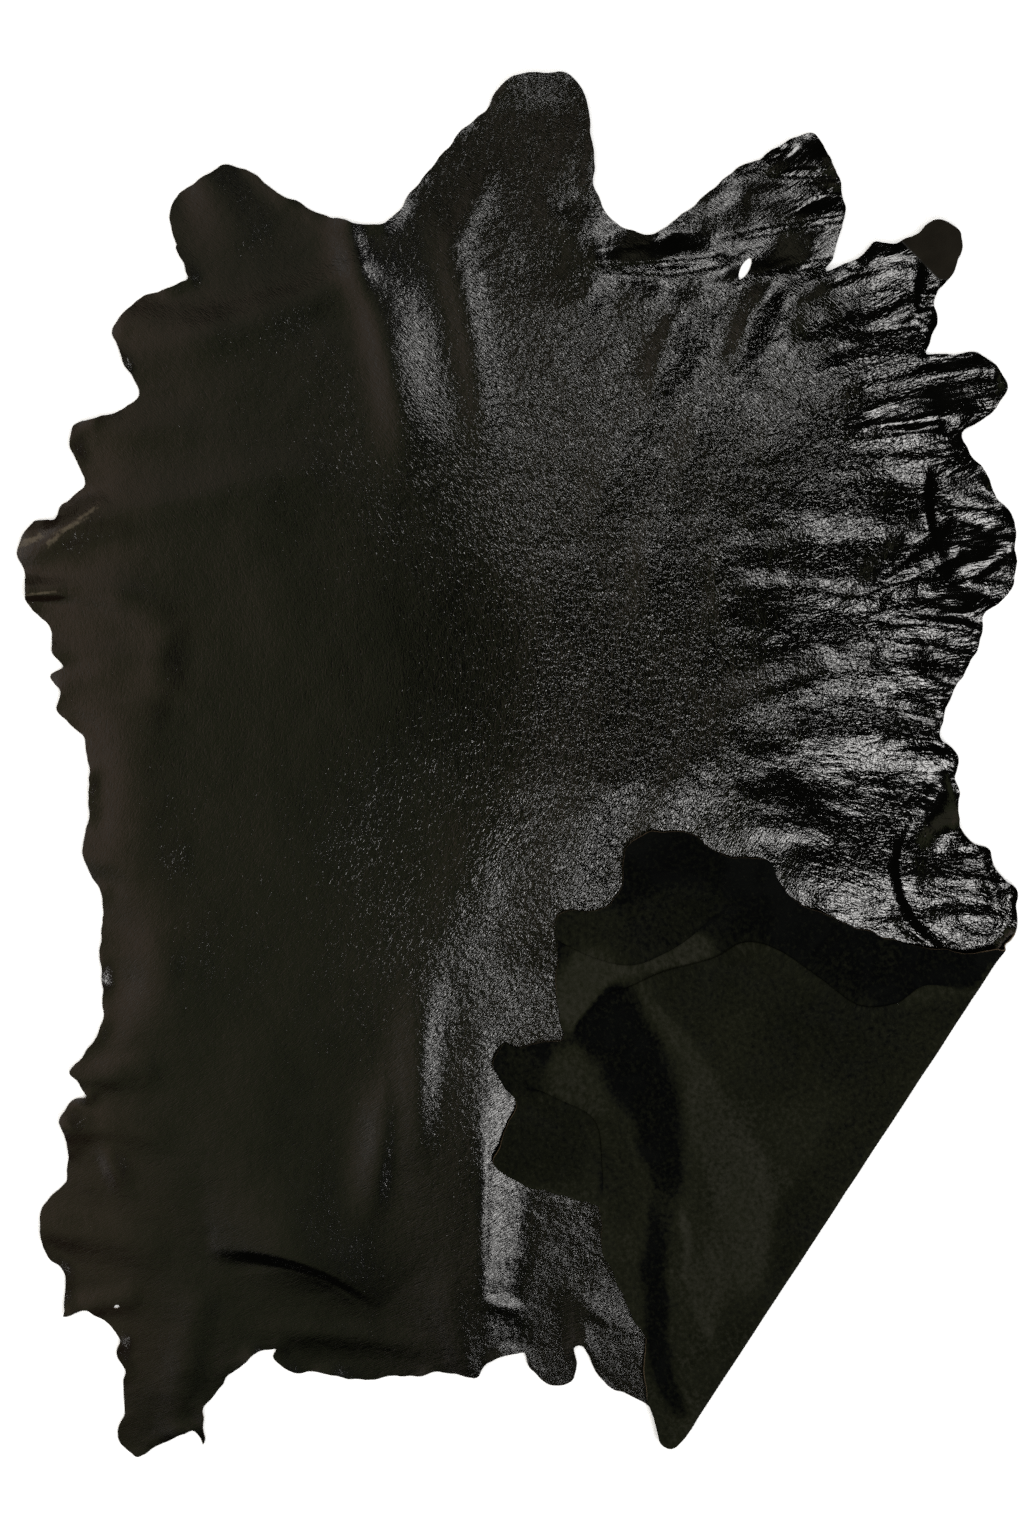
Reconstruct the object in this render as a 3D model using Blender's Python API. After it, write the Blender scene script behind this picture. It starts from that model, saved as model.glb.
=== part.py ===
"""Leather hide in one piece, spread grain side up on a flat surface.

The lower right corner is folded over along one straight diagonal, so the flesh
side of that corner faces up. The edge is the ragged edge of a whole tanned skin:
neck, shanks and flanks as lobes and hollows. Thickness is constant and is laid
off on both sides of a middle surface, so the sheet stays one closed solid.

Frame: +X across the hide, +Y from tail to neck, +Z up. The underside of the
spread part lies in the plane z = 0. Tables are in centimetres, in the plan of
the hide as it lies; everything built is in metres.
"""
import math
from collections import namedtuple

import bpy
import numpy as np
from mathutils import Vector
from mathutils.geometry import delaunay_2d_cdt

# ------------------------------------------------------------------ sizes (m)
THICK = 0.0014          # leather thickness
FOLD_RADIUS = 0.0048    # middle surface, round the folded edge
LAYER_GAP = 0.0012      # air between the folded corner and the grain under it
FOLD_RELAX = 0.085      # distance over which the corner comes down from the bend
EDGE_STEP = 0.0125      # spacing of points along the ragged edge
GRID = 0.0236           # spacing of points inside
BEND_STEP = 0.022       # spacing of points along the bend
BEND_ROWS = 6           # facets round the bend
RAGGED = 0.0009         # fine waviness of the cut edge
FLAT_BELOW = 0.0003     # ridges lower than this are pressed flat
RIDGE_SHARE = 0.7       # how much of a ridge stands once the hide has settled

FOLD_TOP = (43.1, -16.4)    # the folded edge runs from here ...
FOLD_TIP = (16.3, -58.8)    # ... to here (cm)
PLAN_CENTRE = (0.77, -1.12)  # middle of the plan in the tables' own frame (cm)

# ------------------------------------------------- the edge, lobe by lobe (cm)
# Each row is one lobe and the hollow that follows it clockwise. tc and dc say how
# far from the corner the rounding starts, so a small number is a sharp corner.
Lobe = namedtuple("Lobe", "tx ty tc dx dy dc")

FORE_LEFT = (
    Lobe(-29.5, 46.6, 1.5, -29.4, 48.7, 0.8),
    Lobe(-26.3, 51.3, 1.0, -24.2, 52.0, 1.0),
    Lobe(-22.4, 51.4, 1.0, -19.4, 49.1, 1.5),
    Lobe(-16.4, 47.8, 1.5, -11.4, 46.5, 1.2),
)
NECK = (
    Lobe(-9.2, 48.8, 1.0, -5.3, 53.9, 1.5),
    Lobe(-2.6, 56.2, 1.5, -0.9, 58.7, 0.8),
    Lobe(0.4, 59.4, 1.0, 4.4, 59.9, 0.8),
    Lobe(6.4, 57.8, 1.2, 6.8, 55.0, 1.5),
    Lobe(7.0, 50.5, 1.5, 8.2, 47.3, 1.5),
    Lobe(10.8, 46.0, 2.0, 13.3, 46.5, 1.5),
)
SHOULDER_RIGHT = (
    Lobe(18.0, 50.7, 1.0, 21.7, 52.9, 1.5),
    Lobe(25.5, 54.8, 0.8, 26.8, 53.8, 0.8),
    Lobe(28.7, 48.6, 1.2, 28.5, 46.8, 1.2),
    Lobe(26.9, 42.9, 0.3, 28.6, 43.7, 0.8),
    Lobe(30.0, 43.9, 0.5, 31.1, 45.5, 0.5),
)
FORE_RIGHT = (
    Lobe(32.4, 45.1, 0.6, 35.1, 46.3, 1.0),
    Lobe(36.7, 47.4, 1.2, 38.7, 46.4, 0.9),
    Lobe(38.7, 44.2, 0.8, 36.3, 40.5, 1.0),
    Lobe(36.7, 39.0, 0.6, 35.6, 35.9, 0.3),
    Lobe(39.8, 36.0, 1.5, 41.7, 35.2, 1.0),
    Lobe(43.1, 33.0, 1.3, 41.4, 30.8, 1.5),
    Lobe(38.9, 29.0, 0.5, 39.5, 27.4, 0.5),
)
FLANK_RIGHT = (
    Lobe(41.2, 25.8, 0.8, 41.8, 24.0, 0.8),
    Lobe(43.0, 22.6, 0.6, 43.9, 20.6, 1.2),
    Lobe(43.9, 16.7, 1.4, 43.1, 15.1, 0.8),
    Lobe(41.2, 13.4, 0.8, 40.4, 10.0, 1.5),
    Lobe(37.5, 4.9, 0.8, 37.5, 2.5, 0.5),
    Lobe(39.3, 1.2, 1.0, 38.7, -0.8, 0.4),
    Lobe(39.4, -2.5, 1.0, 39.1, -5.1, 0.8),
    Lobe(39.8, -6.3, 0.8, 42.0, -7.1, 0.4),
    Lobe(42.6, -9.3, 1.0, 44.5, -10.9, 0.9),
    Lobe(44.5, -14.5, 0.8, 43.3, -15.6, 0.3),
)
# The folded corner, in plan as it lies on top, from the bend's upper end round
# to its lower tip.
CORNER = (
    Lobe(42.0, -15.9, 0.4, 39.3, -16.3, 1.5),
    Lobe(35.3, -15.6, 1.5, 31.2, -14.5, 1.2),
    Lobe(29.0, -13.4, 1.2, 25.1, -12.0, 1.0),
    Lobe(23.8, -10.4, 1.2, 22.9, -8.5, 0.9),
    Lobe(21.4, -7.8, 0.9, 18.6, -7.8, 1.2),
    Lobe(15.1, -5.4, 1.2, 11.9, -5.5, 1.2),
    Lobe(9.8, -6.9, 1.5, 9.6, -11.1, 0.9),
    Lobe(8.4, -12.4, 0.7, 4.0, -12.6, 0.6),
    Lobe(3.9, -19.5, 2.0, 4.5, -24.0, 0.4),
    Lobe(0.7, -24.8, 1.0, -0.6, -24.2, 0.5),
    Lobe(-1.9, -25.9, 0.8, 0.4, -30.0, 0.5),
    Lobe(-2.0, -35.4, 1.3, 2.5, -37.6, 1.2),
    Lobe(7.9, -38.9, 0.4, 7.8, -42.3, 1.5),
    Lobe(10.4, -48.4, 1.2, 11.9, -50.5, 1.0),
    Lobe(11.7, -53.5, 1.5, 12.3, -57.3, 1.0),
    Lobe(13.1, -60.2, 0.8, 14.3, -61.0, 0.6),
    Lobe(15.4, -60.0, 0.6, 16.2, -59.1, 0.4),
)
REAR = (
    Lobe(12.3, -57.3, 0.5, 8.2, -55.2, 1.0),
    Lobe(6.3, -51.7, 0.4, 5.6, -51.9, 0.2),
    Lobe(5.6, -55.1, 0.7, 3.7, -55.7, 1.0),
    Lobe(1.8, -54.2, 1.0, 1.2, -52.2, 0.3),
    Lobe(-2.4, -53.1, 0.4, -3.1, -54.6, 0.4),
    Lobe(-5.6, -54.1, 1.5, -10.0, -54.5, 1.2),
    Lobe(-13.5, -55.1, 1.2, -16.0, -54.3, 1.2),
    Lobe(-19.5, -54.4, 1.2, -21.5, -52.9, 0.4),
    Lobe(-21.0, -52.0, 0.2, -22.3, -52.2, 0.6),
)
SHANK_REAR_LEFT = (
    Lobe(-25.7, -54.5, 0.3, -25.7, -55.3, 0.3),
    Lobe(-27.7, -57.5, 0.4, -27.7, -61.0, 0.15),
    Lobe(-28.6, -59.5, 0.2, -30.4, -60.1, 0.8),
    Lobe(-33.8, -62.2, 0.5, -35.4, -60.4, 0.8),
    Lobe(-34.7, -57.4, 0.8, -34.9, -55.5, 0.8),
    Lobe(-34.5, -54.2, 0.5, -35.3, -52.4, 0.5),
    Lobe(-35.1, -51.3, 0.4, -36.3, -49.4, 0.8),
    Lobe(-38.0, -48.4, 0.6, -40.1, -49.1, 0.2),
)
REAR_LEFT = (
    Lobe(-39.9, -46.7, 0.5, -39.5, -45.2, 0.4),
    Lobe(-41.6, -43.7, 1.0, -42.1, -40.3, 1.2),
    Lobe(-41.3, -38.2, 0.8, -39.4, -36.7, 0.5),
    Lobe(-39.4, -33.2, 1.2, -40.3, -31.2, 0.6),
    Lobe(-38.9, -29.6, 0.5, -37.6, -29.2, 0.2),
    Lobe(-39.2, -27.0, 0.3, -36.8, -24.2, 1.0),
)
FLANK_LEFT = (
    Lobe(-35.9, -20.6, 1.5, -36.5, -16.0, 1.5),
    Lobe(-35.8, -13.3, 1.2, -36.3, -10.8, 1.0),
    Lobe(-37.8, -7.6, 1.2, -36.8, -1.9, 2.0),
    Lobe(-37.5, 2.9, 0.6, -40.0, 5.3, 0.4),
    Lobe(-39.4, 6.8, 0.4, -40.4, 8.1, 0.3),
    Lobe(-39.0, 8.9, 0.3, -40.1, 10.1, 0.4),
    Lobe(-40.4, 12.7, 0.5, -41.6, 13.8, 0.3),
    Lobe(-42.5, 14.8, 0.2, -42.3, 16.8, 0.5),
    Lobe(-43.1, 18.8, 0.6, -41.6, 21.8, 0.4),
    Lobe(-39.6, 21.5, 0.4, -39.1, 22.9, 0.4),
    Lobe(-37.0, 24.5, 0.4, -38.2, 28.2, 1.0),
    Lobe(-38.2, 29.9, 0.5, -33.3, 31.1, 1.2),
    Lobe(-32.2, 32.5, 0.8, -34.2, 36.8, 1.5),
    Lobe(-34.6, 38.2, 0.6, -33.4, 39.7, 0.6),
    Lobe(-30.7, 41.3, 1.0, -27.8, 42.3, 0.3),
)

# ------------------------------------------- small holes in the skin (cm, deg)
Hole = namedtuple("Hole", "name x y length width turn")
HOLES = (
    Hole("shoulder_slit", 20.1, 43.2, 2.1, 0.75, 62),
    Hole("shank_nick", -35.3, -48.2, 0.55, 0.35, 20),
)

# -------------------------------------------- the folds it lies in (cm, mm high)
# A row is one fold from (x0, y0) to (x1, y1), bulging `bow` to the left of that
# walk. Its height goes from h0 by hm to h1, and left and right are the widths of
# its two flanks, so a narrow flank beside a wide one is a sharp crease.
Fold = namedtuple("Fold", "x0 y0 x1 y1 bow h0 hm h1 left right")

FOLDS_NECK = (
    Fold(-14.2, 46.5, -9.2, 26.0,  1.0, 1.2, 4.8, 0.6, 3.2, 1.8),
    Fold(-5.8, 46.5, -2.3, 27.0,   0.7, 1.2, 3.2, 0.5, 1.6, 1.5),
    Fold(-1.8, 51.5, -4.8, 45.5,   0.0, 0.5, 1.8, 1.0, 1.1, 1.0),
    Fold(7.6, 60.0, 7.6, 49.0,     0.0, 2.0, 5.0, 1.0, 1.5, 4.6),
    Fold(6.6, 48.5, 5.8, 37.0,     0.3, 1.2, 2.9, 0.3, 1.9, 3.8),
    Fold(1.8, 50.0, 4.6, 46.4,     0.0, 0.3, 1.4, 0.6, 1.0, 1.0),
    Fold(-1.5, 59.2, 3.0, 57.4,    0.0, 1.0, 1.8, 0.6, 2.0, 1.4),
    Fold(-0.6, 62.8, -0.4, 56.4,   0.0, 7.0, 6.0, 0.5, 5.4, 2.4),
)
FOLDS_SHOULDER = (
    Fold(6.6, 44.0, 18.8, 44.6,   -0.5, 0.6, 5.6, 1.4, 1.8, 0.8),
    Fold(16.8, 46.0, 29.2, 48.0,  -0.1, 0.8, 2.8, 4.6, 2.4, 0.5),
    Fold(18.6, 42.0, 27.2, 42.6,   0.2, 0.6, 2.2, 1.4, 3.0, 2.2),
    Fold(21.6, 51.4, 28.2, 51.6,   0.2, 1.5, 5.2, 6.0, 2.2, 0.7),
    Fold(15.6, 48.4, 19.0, 49.8,   0.1, 0.3, 1.0, 0.4, 0.7, 0.9),
    Fold(20.6, 49.6, 28.6, 50.2,   0.2, 0.4, 1.6, 2.2, 0.8, 0.6),
    Fold(21.6, 39.6, 22.0, 41.8,  -0.2, 0.4, 1.6, 0.4, 1.0, 0.9),
    Fold(14.6, 39.0, 12.2, 30.5,  -0.6, 0.8, 2.8, 0.6, 2.8, 1.3),
    Fold(7.4, 41.6, 13.4, 39.2,    0.9, 0.5, 2.2, 0.6, 1.2, 2.4),
    Fold(9.4, 29.6, 7.6, 22.4,    -0.3, 0.4, 1.8, 0.4, 2.6, 1.4),
    Fold(16.8, 31.0, 15.2, 24.0,  -0.3, 0.4, 2.0, 0.4, 2.8, 1.4),
    Fold(12.4, 22.0, 11.6, 13.0,  -0.4, 0.4, 1.8, 0.4, 2.6, 1.4),
    Fold(22.2, 41.0, 19.4, 34.0,  -0.6, 0.8, 3.0, 0.6, 1.6, 1.2),
    Fold(14.6, 39.5, 13.6, 36.0,  -0.2, 0.4, 1.4, 0.4, 1.6, 1.0),
    Fold(23.0, 38.4, 32.4, 42.8,   0.4, 0.5, 2.8, 2.6, 1.0, 3.6),
    Fold(26.4, 45.6, 39.4, 48.2,   0.2, 3.2, 7.6, 9.6, 2.0, 3.1),
    Fold(30.6, 42.8, 31.0, 37.0,   0.1, 0.8, 3.4, 1.0, 2.0, 6.0),
    Fold(25.0, 34.6, 35.4, 37.4,   0.5, 0.5, 2.6, 2.4, 1.2, 1.0),
    Fold(26.4, 29.2, 42.8, 34.4,   1.2, 0.6, 6.0, 5.4, 1.6, 2.8),
    Fold(28.0, 33.8, 34.8, 36.2,   0.0, 0.5, 1.4, 1.2, 0.9, 1.0),
    Fold(27.0, 28.2, 38.8, 29.4,  -0.2, 0.4, 1.8, 2.2, 1.2, 1.3),
)
FOLDS_FLANK = (
    Fold(25.0, 24.4, 37.6, 24.6,   0.3, 0.3, 0.9, 1.6, 1.3, 1.6),
    Fold(21.8, 19.4, 33.5, 19.6,   0.2, 0.8, 3.8, 1.6, 1.6, 2.6),
    Fold(30.0, 16.0, 36.5, 21.0,   0.2, 0.8, 2.4, 1.5, 1.1, 1.2),
    Fold(37.0, 22.8, 42.6, 22.6,   0.1, 0.8, 3.0, 3.2, 1.0, 1.2),
    Fold(37.0, 16.0, 43.6, 16.4,   0.0, 0.4, 1.8, 2.2, 1.2, 1.2),
    Fold(18.0, 19.4, 18.3, 12.4,  -0.2, 0.4, 1.4, 0.4, 1.8, 0.9),
    Fold(17.4, 15.0, 31.5, 14.6,   0.9, 0.6, 2.6, 1.0, 1.2, 1.1),
    Fold(17.0, 13.6, 26.0, 13.4,   0.2, 0.6, 2.2, 0.6, 1.2, 2.6),
    Fold(28.5, 13.8, 37.0, 17.0,   0.2, 0.6, 2.6, 1.6, 1.1, 1.2),
    Fold(28.0, 12.6, 41.4, 11.4,   0.3, 0.4, 2.6, 3.4, 1.1, 1.1),
    Fold(15.5, 4.0, 40.6, 9.0,     1.6, 0.6, 4.6, 3.6, 1.9, 2.4),
    Fold(32.0, 6.7, 38.6, 5.6,     0.1, 0.4, 2.0, 2.4, 0.7, 0.8),
    Fold(33.2, 4.6, 37.6, 3.6,     0.0, 0.4, 1.8, 2.0, 0.6, 0.8),
    Fold(18.0, 0.8, 38.2, 3.2,     0.5, 0.6, 3.2, 4.4, 3.0, 2.4),
    Fold(5.0, -12.8, 13.6, 3.4,    2.2, 2.6, 5.0, 0.6, 5.0, 2.5),
    Fold(12.0, -7.4, 18.0, 2.4,    1.0, 1.8, 3.0, 0.6, 1.9, 2.0),
    Fold(17.6, -6.4, 31.5, -4.4,   3.0, 1.0, 2.0, 0.6, 2.4, 2.2),
    Fold(19.6, -6.6, 28.2, -6.0,   1.0, 0.8, 2.2, 0.6, 1.6, 2.0),
    Fold(22.5, -9.8, 34.0, -10.0,  0.3, 1.2, 3.6, 3.4, 3.2, 2.6),
    Fold(36.0, -7.2, 40.0, -4.6,   0.3, 1.0, 4.6, 3.0, 1.2, 1.5),
    Fold(35.4, -9.6, 43.4, -10.6,  0.5, 1.0, 4.6, 3.0, 1.6, 1.7),
    Fold(36.4, -13.2, 43.4, -13.6, 0.2, 0.8, 3.0, 2.4, 1.1, 1.2),
    Fold(41.0, -7.6, 43.0, -12.4,  0.0, 0.8, 2.4, 1.0, 1.0, 0.9),
)
# left of the folded corner: long low folds
FOLDS_REAR = (
    Fold(-2.0, -3.0, -6.6, -19.0,  0.4, 0.5, 2.4, 0.5, 4.2, 3.0),
    Fold(-7.2, -18.0, -8.6, -36.0, -0.4, 0.6, 3.8, 0.8, 1.6, 2.4),
    Fold(-11.4, -27.6, -12.6, -40.0, 0.3, 0.5, 3.6, 0.8, 1.1, 1.8),
    Fold(-3.0, -24.0, -3.4, -50.5, 0.0, 2.0, 4.4, 3.6, 2.9, 5.6),
    Fold(-2.3, -30.0, -2.6, -47.0, 0.0, 0.3, 0.9, 0.5, 0.5, 1.0),
    Fold(5.2, -45.6, 8.0, -56.0,   0.1, 0.6, 3.8, 1.8, 4.0, 1.4),
    Fold(6.0, -48.0, 9.8, -50.0,   0.0, 0.4, 1.4, 0.6, 0.9, 0.5),
    Fold(-3.4, -26.0, -3.8, -52.0, 0.0, 1.4, 4.4, 3.0, 8.0, 7.0),
    Fold(-2.6, -47.6, 1.0, -48.2,  0.0, 0.6, 1.6, 0.6, 0.5, 0.9),
)
# soft broad folds toward the left edge; walking inward, left is the upper flank
FOLDS_LEFT = (
    Fold(-34.0, 35.4, -14.0, 42.6, -0.6, 2.2, 2.2, 2.6, 1.6, 2.2),
    Fold(-14.6, 48.2, -12.6, 42.0, 0.0, 2.2, 2.4, 0.6, 0.8, 1.8),
    Fold(-39.0, 21.6, -18.0, 26.0, -0.5, 3.2, 2.0, 0.4, 1.6, 2.0),
    Fold(-42.6, 18.8, -39.0, 19.2, 0.0, 3.0, 2.6, 1.0, 0.8, 1.0),
    Fold(-38.0, 16.4, -30.0, 12.6, 0.6, 1.0, 2.2, 0.6, 2.0, 1.6),
    Fold(-30.6, 12.6, -31.4, 6.0,  0.6, 0.6, 2.2, 0.6, 1.6, 2.0),
    Fold(-39.2, 7.4, -34.0, 8.8,   0.0, 2.6, 1.6, 0.4, 1.0, 1.2),
    Fold(-35.4, 6.0, -33.4, -8.0,  0.5, 1.0, 2.6, 1.6, 4.0, 3.0),
    Fold(-34.4, -8.4, -31.2, -17.6, 1.2, 1.2, 2.4, 1.8, 5.0, 2.8),
    Fold(-31.4, -17.0, -35.6, -28.6, 0.9, 1.4, 2.4, 1.4, 5.0, 2.8),
    Fold(-41.0, 19.2, -35.0, 23.8, 0.0, 2.0, 3.2, 0.6, 0.9, 2.4),
    Fold(-27.0, 38.0, -20.0, 12.0, 0.6, 0.3, 0.9, 0.3, 3.4, 3.4),
    Fold(-37.6, -34.0, -41.0, -31.0, 0.0, 0.8, 2.6, 1.6, 1.2, 1.4),
    Fold(-36.4, -33.6, -34.8, -37.6, 0.0, 0.6, 2.2, 0.6, 1.2, 0.5),
    Fold(-28.8, -49.0, -30.6, -56.0, 0.3, 0.5, 0.9, 0.6, 1.6, 1.6),
    Fold(-33.0, -43.0, -25.0, -52.0, 0.5, 0.4, 1.0, 0.8, 1.8, 1.8),
    Fold(-22.0, -50.6, -8.0, -52.0, 0.4, 0.6, 2.2, 0.8, 1.2, 1.0),
)
# on the folded corner, in plan as it lies on top
FOLDS_CORNER = (
    Fold(5.4, -24.4, 11.2, -34.0,  -0.5, 1.2, 3.4, 1.2, 2.2, 1.4),
    Fold(12.4, -20.6, 17.6, -35.0, -0.4, 0.8, 3.4, 0.8, 2.2, 2.6),
    Fold(14.2, -42.5, 14.8, -48.5,  0.0, 0.6, 2.4, 0.4, 0.9, 1.2),
    Fold(15.2, -50.0, 16.4, -56.0,  0.0, 0.6, 2.2, 0.6, 0.9, 1.1),
    Fold(11.2, -42.0, 11.8, -57.0, -0.2, 0.8, 2.4, 1.4, 1.0, 1.2),
    Fold(11.0, -7.5, 15.0, -13.0,   0.2, 2.4, 2.6, 0.8, 1.6, 1.8),
    Fold(18.6, -9.0, 21.5, -14.0,   0.0, 2.0, 2.2, 0.8, 1.5, 1.4),
    Fold(-1.0, -34.5, 5.0, -33.0,   0.0, 2.6, 2.2, 0.8, 1.4, 1.5),
    Fold(-1.0, -25.5, 4.0, -27.5,   0.0, 2.4, 2.2, 0.8, 1.0, 1.2),
    Fold(27.0, -13.5, 28.0, -18.6,  0.0, 1.6, 2.2, 0.8, 1.5, 1.6),
    Fold(34.5, -16.6, 33.5, -22.0,  0.0, 1.6, 2.4, 0.8, 1.6, 1.6),
    Fold(21.0, -24.0, 27.0, -34.0,  0.4, 0.6, 1.8, 0.6, 2.6, 2.6),
    Fold(16.0, -34.0, 20.0, -46.0,  0.4, 0.6, 1.8, 0.6, 2.4, 2.4),
    Fold(6.2, -22.6, 9.6, -25.6,    0.1, 0.4, 1.4, 0.4, 0.5, 0.5),
    Fold(13.4, -15.4, 16.2, -17.2,  0.0, 0.6, 1.6, 0.6, 0.8, 0.6),
)

# ------------------------------------------- low ridges toward the left edge (cm)
# A row is one ridge from (x0, y0) to (x1, y1); its height goes from h0 to h1 and
# its half width from w0 to w1. Ridges grow toward the edge, where the skin was
# stretched, and vanish inside it.
Ridge = namedtuple("Ridge", "x0 y0 x1 y1 h0 h1 w0 w1")

RIDGES_LEFT = (
    Ridge(-22.0, 45.0, -26.0, 51.0, 0.15, 0.55, 2.4, 1.8),
    Ridge(-24.0, 38.0, -33.8, 38.6, 0.15, 0.55, 2.2, 1.4),
    Ridge(-27.0, 29.5, -37.6, 29.0, 0.15, 0.50, 2.0, 1.2),
    Ridge(-33.0, 20.5, -42.0, 20.4, 0.15, 0.75, 1.4, 1.0),
    Ridge(-33.0, 15.0, -42.0, 15.6, 0.15, 0.60, 1.3, 0.9),
    Ridge(-30.0, 9.0, -39.8, 9.8, 0.15, 0.50, 1.6, 1.0),
    Ridge(-30.0, 4.5, -39.4, 5.6, 0.15, 0.50, 1.6, 1.0),
    Ridge(-28.0, -8.0, -37.4, -7.4, 0.12, 0.45, 2.0, 1.4),
    Ridge(-29.0, -18.0, -36.2, -16.0, 0.12, 0.40, 2.0, 1.5),
)
RIDGES_REAR = (
    Ridge(-31.0, -27.0, -39.0, -27.4, 0.15, 0.60, 1.5, 1.0),
    Ridge(-30.0, -33.0, -39.6, -31.4, 0.15, 0.60, 1.6, 1.1),
    Ridge(-30.0, -43.5, -41.8, -41.2, 0.15, 0.65, 1.8, 1.5),
    Ridge(-27.0, -46.0, -30.5, -59.0, 0.10, 0.25, 1.6, 1.6),
    Ridge(-33.0, -47.0, -39.4, -48.4, 0.20, 0.50, 1.2, 0.9),
    Ridge(-6.0, -46.0, -4.0, -54.0, 0.15, 0.35, 1.6, 1.2),
)

# --------------------------- tucks: where the skin is lapped over itself (cm)
# The path of a tuck is its upper lip. The side on the left of the path, walking
# from its first row to its last, stands high by `rise` and sinks back over `back`.
Tuck = namedtuple("Tuck", "name rise back path")
Stop = namedtuple("Stop", "x y")

TUCK_CORNER_LOW = Tuck("corner_low", 0.42, 5.0, (
    Stop(40.5, -19.6), Stop(36.5, -19.0), Stop(33.8, -20.8), Stop(30.5, -21.2),
    Stop(27.0, -18.8), Stop(23.5, -16.4), Stop(20.6, -15.6), Stop(17.8, -17.0),
    Stop(13.4, -18.2), Stop(10.4, -19.4), Stop(8.0, -20.2), Stop(5.4, -24.0),
))
TUCK_CORNER_RIBBON = Tuck("corner_ribbon", 0.30, 3.4, (
    Stop(1.6, -14.2), Stop(5.0, -15.5), Stop(8.6, -16.8), Stop(10.8, -17.0), Stop(12.9, -16.2),
    Stop(16.0, -14.4), Stop(19.0, -12.2),
))
TUCK_CORNER_LOBE = Tuck("corner_lobe", 0.34, 3.0, (
    Stop(0.6, -28.2), Stop(4.0, -29.0), Stop(7.2, -30.6), Stop(8.2, -33.4), Stop(7.9, -38.4),
))
TUCK_REAR = Tuck("rear", 0.44, 5.0, (
    Stop(-27.0, -42.3), Stop(-23.2, -42.8), Stop(-19.4, -43.8), Stop(-15.9, -45.2),
    Stop(-12.4, -47.0),
))

FOLDS_SPREAD = FOLDS_NECK + FOLDS_SHOULDER + FOLDS_FLANK + FOLDS_REAR + FOLDS_LEFT
RIDGES_SPREAD = RIDGES_LEFT + RIDGES_REAR
TUCKS_SPREAD = (TUCK_REAR, )
TUCKS_CORNER = (TUCK_CORNER_LOW, TUCK_CORNER_RIBBON, TUCK_CORNER_LOBE)

LEATHER_COLOUR = (0.012, 0.011, 0.010, 1.0)
LEATHER_ROUGH = 0.32

# ------------------------------------------------------------ the fold's frame
CM = 0.01
MM = 0.001
ALONG = np.array(FOLD_TIP) - np.array(FOLD_TOP)
FOLD_LENGTH = float(np.hypot(*ALONG)) * CM
ALONG = ALONG / np.hypot(*ALONG)
OUTWARD = np.array((-ALONG[1], ALONG[0]))       # from the spread part to the bend
REACH = FOLD_RADIUS + THICK / 2                 # bend's outer face from its axis
AXIS = np.array(FOLD_TOP) * CM - OUTWARD * REACH
ARC = math.pi * FOLD_RADIUS


def from_axis(xy):
    """Signed distance outward from the bend's axis."""
    return (xy - AXIS) @ OUTWARD


def unfolded(xy):
    """Plan point on the folded corner -> the same point in the flat pattern."""
    inward = -from_axis(xy)
    s = np.where(inward >= 0, ARC + inward, ARC * (1 + 0.5 * inward / REACH))
    return xy + OUTWARD * (s + inward)[:, None]


# ------------------------------------------------------------------ relief
def smooth(t):
    t = np.clip(t, 0.0, 1.0)
    return t * t * (3 - 2 * t)


def fold_height(xy, folds):
    """Summed height of creased folds at plan points, in metres."""
    total = np.zeros(len(xy))
    for f in folds:
        a, b = np.array((f.x0, f.y0)) * CM, np.array((f.x1, f.y1)) * CM
        run = b - a
        left = np.array((-run[1], run[0])) / np.hypot(*run)
        mid = (a + b) / 2 + left * 2 * f.bow * CM
        t = np.linspace(0, 1, 13)[:, None]
        line = a * (1 - t) ** 2 + 2 * mid * t * (1 - t) + b * t * t
        gap, side, share = np.full(len(xy), 1e9), np.zeros(len(xy)), np.zeros(len(xy))
        for i in range(12):
            seg = line[i + 1] - line[i]
            v = np.clip(((xy - line[i]) @ seg) / (seg @ seg), 0.0, 1.0)
            off = xy - line[i] - v[:, None] * seg
            d = np.hypot(*off.T)
            near = d < gap
            gap[near] = d[near]
            side[near] = ((seg[0] * off[:, 1] - seg[1] * off[:, 0]) / np.hypot(*seg))[near]
            share[near] = (i + v[near]) / 12
        lean = side / np.maximum(gap, 1e-9)
        width = (f.right + (f.left - f.right) * smooth(0.5 + 0.5 * lean)) * CM
        high = (f.h0 * (1 - share) * (1 - 2 * share) + f.hm * 4 * share * (1 - share)
                + f.h1 * share * (2 * share - 1))
        total += high * MM * np.exp(-(gap / width) ** 2)
    return total


def ridge_height(xy, ridges):
    """Summed height of soft ridges at plan points, in metres."""
    total = np.zeros(len(xy))
    for r in ridges:
        a, b = np.array((r.x0, r.y0)) * CM, np.array((r.x1, r.y1)) * CM
        run = b - a
        length = float(np.hypot(*run))
        u = ((xy - a) @ run) / length ** 2
        v = np.clip(u, 0.0, 1.0)
        side = np.hypot(*(xy - a - v[:, None] * run).T)
        width = (r.w0 + (r.w1 - r.w0) * v) * CM
        height = (r.h0 + (r.h1 - r.h0) * v ** 1.5) * CM
        total += height * np.exp(-(side / width) ** 2) * smooth((v + 0.02) / 0.3 + 0.35)
    return np.maximum(total - FLAT_BELOW, 0.0) * RIDGE_SHARE


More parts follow.
